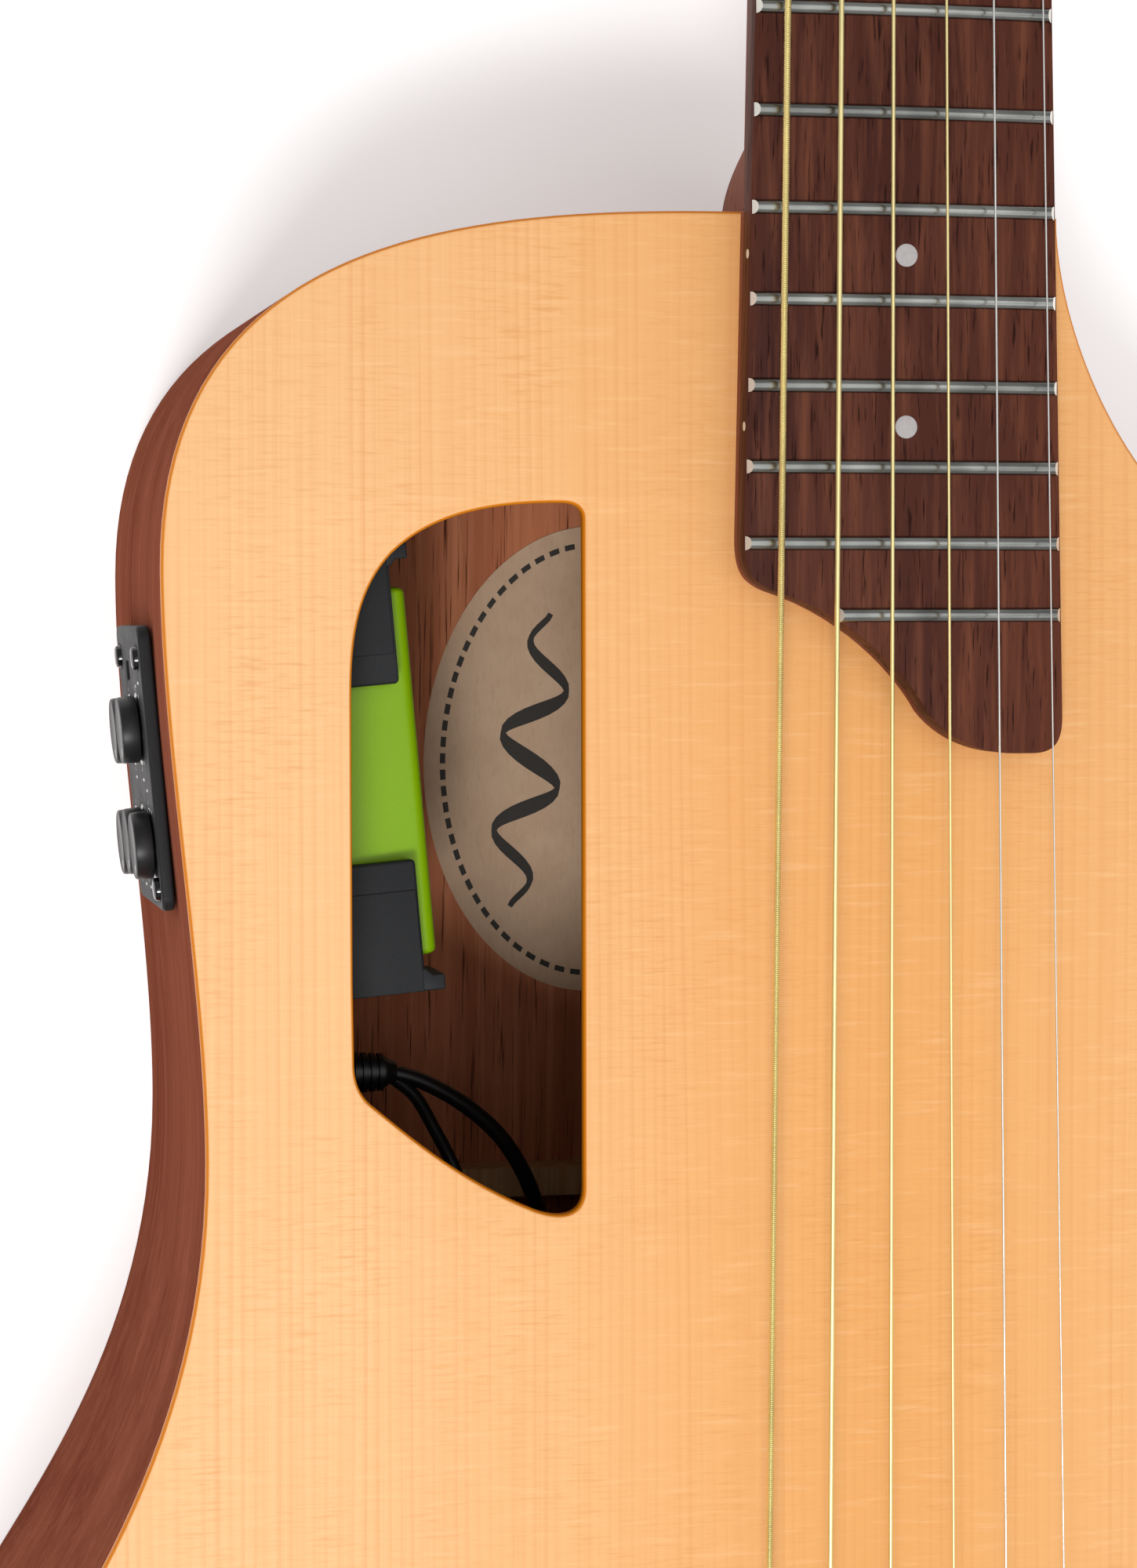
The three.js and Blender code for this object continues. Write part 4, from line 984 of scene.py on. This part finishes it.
# ---- Bridge ----
def make_bridge(m):
    wing = path((78, 0.02), ((78, 3.4),), ((62, 4.6), (58, 5), (52, 9.3)), steps=12)
    outline = wing + [(-x, z) for x, z in reversed(wing)]
    stand = Matrix.Translation((0, -6.5, 0)) @ Matrix.Rotation(math.pi / 2, 4, "X")
    bar = plate(outline, -15.5, 15.5, place=PLACE @ stand)
    tail_side, end, corner = ((45, -22), (60, -12), (78, -10)), ((78, 6),), ((78, 8), (77, 9), (75, 9))
    right = path((0, -22), tail_side, end, corner, steps=14)
    plan = right + [(-x, y) for x, y in reversed(right[1:])]
    body = boolean(bar, plate(plan, -5, 20), "INTERSECT")
    turn = Matrix.Rotation(SADDLE_SLANT, 4, "Z")
    body = bevelled(body, 0.8, 3, 40)
    slot = box(-37.2, 37.2, -1.6, 1.6, 4.3, 20, place=PLACE @ turn)
    body = boolean(body, slot, "DIFFERENCE")
    piece("bridge_finished", body, m["rosewood"], replaces="bridge", angle=35)
    crest = [(37 * (1 - i / 12), string_under(37 * (1 - i / 12), 0) - 0.02) for i in range(25)]
    stand = turn @ Matrix.Rotation(math.pi / 2, 4, "X")
    saddle = plate([(-37, 4.6), (37, 4.6)] + crest, -1.5, 1.5, place=PLACE @ stand)
    piece("saddle_finished", bevelled(saddle, 0.5, 3), m["bone"], replaces="saddle")
    for name, (x, *_rest) in STRINGS.items():
        head = [(2.3, -6), (2.4, 0.2), (3.6, 0.25), (3.9, 1.2), (3.6, 2.2), (2.6, 3.0), (1.2, 3.35), (0, 3.4)]
        pin = turned(head, 32, at(x, PIN_Y, BRIDGE_TOP))
        piece(f"bridge_pin_{name}", pin, m["black"], angle=40)
        dot = turned([(0, 3.2), (1.2, 3.2), (1.15, 3.46), (0, 3.5)], 20, at(x, PIN_Y, BRIDGE_TOP))
        piece(f"bridge_pin_dot_{name}", dot, m["pearl"])


# ---- Tuners ----
BUSHING = (
    (3.45, -2), (3.45, 2.6), (4.6, 3.1), (6.3, 3.1), (6.6, 2.6),
    (6.9, 0.9), (8.4, 0.7), (8.6, 0.05), (8.0, 0.0), (3.6, 0.0),
)  # fmt: skip
POST = (
    (0, -14), (3, -14), (3, 5.5), (2.5, 8.5), (2.35, 10), (2.5, 11.5),
    (3, 14), (3, 17), (2.7, 17.7), (2, 18), (0, 18),
)  # fmt: skip
BOSS = ((4.4, 0), (4.4, 2.2), (3.9, 2.9), (2.4, 2.9), (2.4, 0))
SCREW = ((0, 0), (1.6, 0), (1.6, 0.5), (1.1, 1.0), (0, 1.1))
BUTTON_SHAFT = ((0, -6), (1.8, -6), (1.8, 12.2), (3.1, 12.6), (3.1, 14.4), (2.2, 15.2), (0, 15.2))


def make_tuners(m):
    nickel = m["nickel"]
    for name, (_, _, _, row, side, _) in STRINGS.items():
        mirror = Matrix.Diagonal((side, 1, 1, 1))
        spot = at(side * TUNER_X, TUNER_ROWS[row], 0, PLACE @ HEAD) @ mirror
        plan = rounded_rectangle(20, 17.7, 3.2)
        shell = plate(plan, -26, -HEAD_THICK - 0.05, 1.6, place=at(0, 1.85, 0, spot), rounds=4)
        boss = turned(BOSS, 32, at(9, WORM_Y, WORM_Z, spot) @ Z_TO_X, True)
        node = f"tuner_housing_{name}"
        piece(f"{node}_finished", joined(shell, boss), nickel, replaces=node, angle=40)
        hole = turned([(0.9, -6), (0.9, 6)], 16, at(0, 0, 12.6, spot) @ Z_TO_X)
        post = boolean(turned(POST, 40, spot), hole, "DIFFERENCE")
        node = f"tuner_post_{name}"
        piece(f"{node}_finished", post, nickel, node, node, 40)
        piece(f"tuner_bushing_{name}", turned(BUSHING, 48, spot, True), nickel, angle=30)
        make_button(nickel, name, spot)
        screw = turned(SCREW, 24, at(-6.6, -4.2, -26, spot) @ UPSIDE_DOWN)
        piece(f"tuner_screw_{name}", screw, nickel)


def make_button(nickel, name, spot):
    worm = at(0, WORM_Y, WORM_Z, spot)
    shaft = turned(BUTTON_SHAFT, 32, worm @ Z_TO_X)
    shoulder, tip = ((16, -9.5), (20, -10), (23.5, -10)), ((30.5, -10), (32, -4), (32, 0))
    half = path((14.2, -2.6), shoulder, tip, steps=10)
    outline = half + [(x, -y) for x, y in reversed(half[:-1])]
    paddle = plate(outline, -3.4, 3.4, 2.2, place=worm, rounds=5)
    node = f"tuner_button_{name}"
    piece(f"{node}_finished", joined(shaft, paddle), nickel, node, node, 40)


def make_head_details(m):
    right, top = ((8, 10), (9, 16), (4, 26)), ((2, 29), (-2, 29), (-4, 26))
    left = ((-9, 16), (-8, 10), (-7, 2))
    cover = path((-7, 2), ((7, 2),), right, top, left, steps=10)[:-1]
    piece("truss_rod_cover", plate(cover, 0.05, 1.7, 0.4, place=PLACE @ HEAD), m["gloss"])
    for i, (x, y) in enumerate(((-4.6, 5), (4.6, 5), (0, 24))):
        head = [(0, 0), (1.3, 0), (1.2, 0.35), (0.7, 0.6), (0, 0.65)]
        screw = turned(head, 20, at(x, y, 1.65, PLACE @ HEAD))
        piece(f"cover_screw_{i + 1}", screw, m["nickel"])


# ---- Preamp ----
BEZEL = {"width": 51.8, "height": 43, "corner": 2.8, "top": 2.25, "raise": 0.5}
FACE = BEZEL["top"]
DISPLAY = {"x": -17.6, "y": -3.5, "width": 3.4, "height": 5.5}


def shifted(outline, x, y):
    return [(u + x, v + y) for u, v in outline]


def make_preamp(m):
    rim = PLACE @ PREAMP
    outline = rounded_rectangle(BEZEL["width"], BEZEL["height"], BEZEL["corner"], 8)
    outline = shifted(outline, 0, BEZEL["raise"])
    holes = [circle(3.2, x, y, 32) for x, y in KNOBS.values()]
    holes += [circle(2.3, x, y, 24) for x, y in PUSH_BUTTONS.values()]
    width, height = DISPLAY["width"], DISPLAY["height"]
    holes.append(shifted(rounded_rectangle(width, height, 0.4, 3), DISPLAY["x"], DISPLAY["y"]))
    shell = plate(outline, -0.1, FACE, 0.6, holes, place=rim, rounds=4)
    skirt_hole = rounded_rectangle(39.8, 27, 1)
    skirt = plate(rounded_rectangle(42.8, 30, 2), -4, -0.1, 0, [skirt_hole], place=rim)
    bezel = joined(shell, skirt)
    piece("preamp_bezel_finished", bezel, m["black"], replaces="preamp_bezel")
    pane = shifted(rounded_rectangle(width - 0.1, height - 0.1, 0.4, 3), DISPLAY["x"], DISPLAY["y"])
    piece("display_window", plate(pane, 0.2, FACE - 0.5, place=rim), m["gloss"])
    for name, (x, y) in KNOBS.items():
        make_knob(m, name, at(x, y, 0, rim))
    for name, (x, y) in PUSH_BUTTONS.items():
        profile = [(0, 1), (2.1, 1), (2.1, FACE + 0.5), (1.95, FACE + 0.85)]
        profile += [(1.5, FACE + 1.05), (0, FACE + 1.1)]
        cap = turned(profile, 32, at(x, y, 0, rim))
        piece(f"{name}_finished", cap, m["gloss"], name, name, 40)
    make_marks(m, rim)
    make_housing(m, rim)


def make_knob(m, name, spot):
    base, top = FACE + 0.3, FACE + 3.7
    profile = [(0, 0.6), (3, 0.6), (3, base), (5.8, base), (6.1, base + 0.15), (6.2, base + 0.5)]
    profile += [(6.1, top - 0.45), (6.0, top - 0.15), (5.75, top), (5.3, top)]
    profile += [(5.15, top - 0.07), (0, top - 0.12)]
    piece(f"{name}_finished", turned(profile, 72, spot), m["knob"], name, name, 30)
    aim = spot @ Matrix.Rotation(math.radians(-60), 4, "Z")
    pointer = box(-0.25, 0.25, 3.9, 5.5, top - 0.3, top + 0.03, place=aim)
    piece(f"{name}_pointer", pointer, m["mark"], name)
    # A thin gloss black ring round the knob's base, darker than the panel: painted shade for the gap under
    # the knob.
    low, high = FACE - 0.1, FACE + 0.12
    ring = turned([(3.6, low), (6.7, low), (6.7, FACE + 0.05), (6.5, high), (3.6, high)], 48, spot, True)
    piece(f"{name}_ring", ring, m["gloss"])


# x, y and length of the plain strokes on the panel
STROKES = (
    (-15.5, 14.6, 2.4), (-14.9, 9.5, 1.2), (2.4, 8.5, 2.6), (2.4, -5, 2.6),
    (4.2, 13, 2.2), (22.6, 3, 2.4), (22.6, -6, 2.4),
)  # fmt: skip


def make_marks(m, rim):
    """Plain ticks and strokes where a panel has its printing."""
    low, high = FACE - 0.1, FACE + 0.03
    marks = []
    for x, y in KNOBS.values():
        for i in range(-3, 4):
            turn = math.radians(-90 + 42 * i)
            spot = at(x, y, 0, rim) @ Matrix.Rotation(turn, 4, "Z")
            if abs(y + 7.6 * math.sin(turn)) < 19 and abs(x + 7.6 * math.cos(turn)) < 24:
                marks.append(box(7.1, 7.9, -0.12, 0.12, low, high, place=spot))
    for x, y, length in STROKES:
        marks.append(box(x - 0.25, x + 0.25, y - length / 2, y + length / 2, low, high, place=rim))
    piece("panel_marks", joined(*marks), m["mark"])


END_ROUND = 1.2


def crowned_bar(x0, x1, low, high, rear, front, crown, corner, place):
    """A bar along x whose upper face is gently crowned between rounded edges, with rounded ends."""
    section = []
    for z0, turn in ((front - corner, 0), (rear + corner, 1)):
        for i in range(7):
            a = (turn + i / 6) * math.pi / 2
            section.append((z0 + corner * math.cos(a), high - corner + corner * math.sin(a)))
        if turn == 0:
            for i in range(1, 12):
                t = i / 12
                z = front - corner + (rear - front + 2 * corner) * t
                section.append((z, high + crown * math.sin(math.pi * t)))
    section += [(rear, low), (front, low)]
    centre = Vector(((rear + front) / 2, (low + high) / 2))
    rings = []
    for end, inward, steps in ((x0, 1, (0, 1, 2, 3, 4)), (x1, -1, (4, 3, 2, 1, 0))):
        for i in steps:
            turn = math.pi / 2 * i / 4
            x = end + inward * END_ROUND * (1 - math.cos(turn))
            inset = END_ROUND * (1 - math.sin(turn))
            ring = []
            for z, y in section:
                away = Vector((z, y)) - centre
                ring.append((x, y - math.copysign(inset, away.y), z - math.copysign(inset, away.x)))
            rings.append(ring)
    return loft(rings, place)


# One bracket is a C-shaped clip: how far it reaches, its sheet and its thicker end wall, and its foot.
BRACKET = {"high": 19.5, "low": -22.5, "front": -4.6, "rear": -44.8, "sheet": 3.2, "wall": 4.2}
FOOT = {"tip": -48.4, "step": -46.2, "root": -43.8, "ledge": 2.9, "low": 3}
# name: where the clip opens and closes along the housing
BRACKETS = {"upper": (-11.2, -36.8), "lower": (21.2, 45.6)}


def bracket_mesh(opened, closed, rim):
    inward = 1 if opened > closed else -1
    wall = closed + inward * BRACKET["wall"]
    high, low, sheet = BRACKET["high"], BRACKET["low"], BRACKET["sheet"]
    outside = [(opened, high), (closed, high), (closed, low), (opened, low)]
    inside = [(opened, low + sheet), (wall, low + sheet), (wall, high - sheet), (opened, high - sheet)]
    clip = bevelled(plate(outside + inside, BRACKET["rear"], BRACKET["front"], place=rim), 0.7, 3)
    ledge = closed + inward * FOOT["ledge"]
    tip, step, root = FOOT["tip"], FOOT["step"], FOOT["root"]
    side = [(closed, root), (closed, tip), (ledge, tip), (ledge, step), (wall, -45), (wall, root)]
    upright = Matrix(((1, 0, 0, 0), (0, 0, 1, 0), (0, 1, 0, 0), (0, 0, 0, 1)))
    foot = bevelled(plate(side, FOOT["low"], high, place=rim @ upright), 0.6, 3)
    fold = opened - inward * 5.5
    start, end = min(fold, closed), max(fold, closed)
    lip = box(start, end, high - 0.3, high + 0.22, -44.4, -5, place=rim, edge=0.25)
    return joined(clip, foot, lip)


def make_housing(m, rim):
    body = crowned_bar(-28.8, 39.4, -19, 15.4, -48.2, -4.6, 1.1, 2.6, rim)
    piece("preamp_housing_finished", body, m["green"], replaces="preamp_housing", angle=50)
    for name, (opened, closed) in BRACKETS.items():
        node = f"preamp_bracket_{name}"
        mesh = bracket_mesh(opened, closed, rim)
        piece(f"{node}_finished", mesh, m["black"], replaces=node)


# Route of the lead from the preamp's plug to the output jack, and of the thinner one to the pickup.
CABLE_ROUTE = (
    (-91, 128.3, -60), (-84, 128.2, -60), (-76.5, 126.1, -60.5), (-67.2, 120.5, -61.5), (-59.4, 112.8, -63),
    (-53.3, 101.5, -66), (-49, 86, -73), (-46, 68, -84), (-44, 48, -94), (-42, 25, -98.2), (-41, 0, -99.9),
    (-40, -25, -99), (-38, -45, -92), (-35, -60, -86.5), (-31, -75, -90), (-25, -95, -96), (-16, -113, -93),
    (-7, -127, -80), (-2, -137, -66), (0, -143.5, -59.5), (0, -149, -58),
)  # fmt: skip
BRANCH_ROUTE = (
    (-83, 127.5, -60), (-78.1, 123.3, -61), (-74.2, 116.8, -62), (-69.6, 107.4, -62), (-66, 94, -57),
    (-62, 75, -47), (-56, 52, -36), (-46, 30, -28), (-35, 17, -22.5), (-25, 9, -20), (-15, 4, -15),
    (-10, 2, -10.5), (-9, 2, -6.3),
)  # fmt: skip


BOOT_RADIUS = 4.2
RIBS = 5
RIB_PITCH = 1.6


def make_cable(m):
    main = tube(smooth_path(CABLE_ROUTE), 1.6, 16)
    branch = tube(smooth_path(BRANCH_ROUTE), 1.3, 14)
    profile = [(0, -6), (4.0, -6), (BOOT_RADIUS, -5.6), (BOOT_RADIUS, -1)]
    for i in range(RIBS):
        start = -1 + i * RIB_PITCH
        crest, groove = BOOT_RADIUS - i * 0.12, 3.5 - i * 0.12
        profile += [(crest, start), (crest, start + 0.9), (groove, start + 1.0), (groove, start + 1.5)]
    profile += [(2.6, 7.4), (2.0, 9), (0, 9)]
    relief = turned(profile, 32, at(*CABLE_ROUTE[0]) @ Z_TO_X)
    stub = [(0, 0), (BOOT_RADIUS, 0), (BOOT_RADIUS, 13.4), (3.8, 13.8), (0, 13.8)]
    plug = turned(stub, 32, at(-97, 126.3, -60) @ Matrix.Rotation(-math.pi / 2, 4, "X"))
    mesh = joined(main, branch, relief, plug)
    piece("preamp_cable_finished", mesh, m["cable"], replaces="preamp_cable", angle=45)


# radius and distance along the guitar of the jack's body, which is also the strap button
JACK = (
    (3.3, -172), (3.3, -204), (6.5, -204), (7.6, -203.6), (8, -202.5), (8, -200.5), (7.4, -198.8),
    (6, -197.4), (5.6, -196), (5.6, -194.5), (6.4, -193), (8, -191.6), (8.2, -190.8), (8, -190.05),
    (6, -190.0), (6, -150), (2.4, -150), (2.4, -172),
)  # fmt: skip


def make_jack(m):
    axis = at(0, 0, JACK_Z) @ Matrix.Rotation(-math.pi / 2, 4, "X")
    body = turned(JACK, 48, axis, True)
    piece("output_jack_finished", body, m["nickel"], replaces="output_jack", angle=35)


# ---- CAD nodes that keep their shape ----
def dress_cad_nodes(m):
    for name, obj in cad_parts.items():
        if obj.hide_render:
            continue
        material = m["steel"] if name == "truss_rod" else m["inner_wood"]
        obj.data.materials.clear()
        obj.data.materials.append(material)


def make_floor(m):
    """A wide plain floor, half a millimetre under the guitar."""
    size, height = 6.0, -0.0005
    corners = [(x * size, y * size, height) for x, y in ((-1, -1), (1, -1), (1, 1), (-1, 1))]
    mesh = mesh_from("floor", corners, [(0, 1, 2, 3)], Matrix.Identity(4))
    mesh.materials.append(m["floor"])
    floor = placed("floor", mesh)


make_camera()
make_studio()
looks = make_materials()
makers = (
    make_soundboard, make_sides, make_back, make_label, make_neck, make_fretboard, make_frets,
    make_markers, make_nut, make_strings, make_bridge, make_tuners, make_head_details, make_preamp,
    make_cable, make_jack, dress_cad_nodes, make_floor,
)  # fmt: skip
for make in makers:
    make(looks)
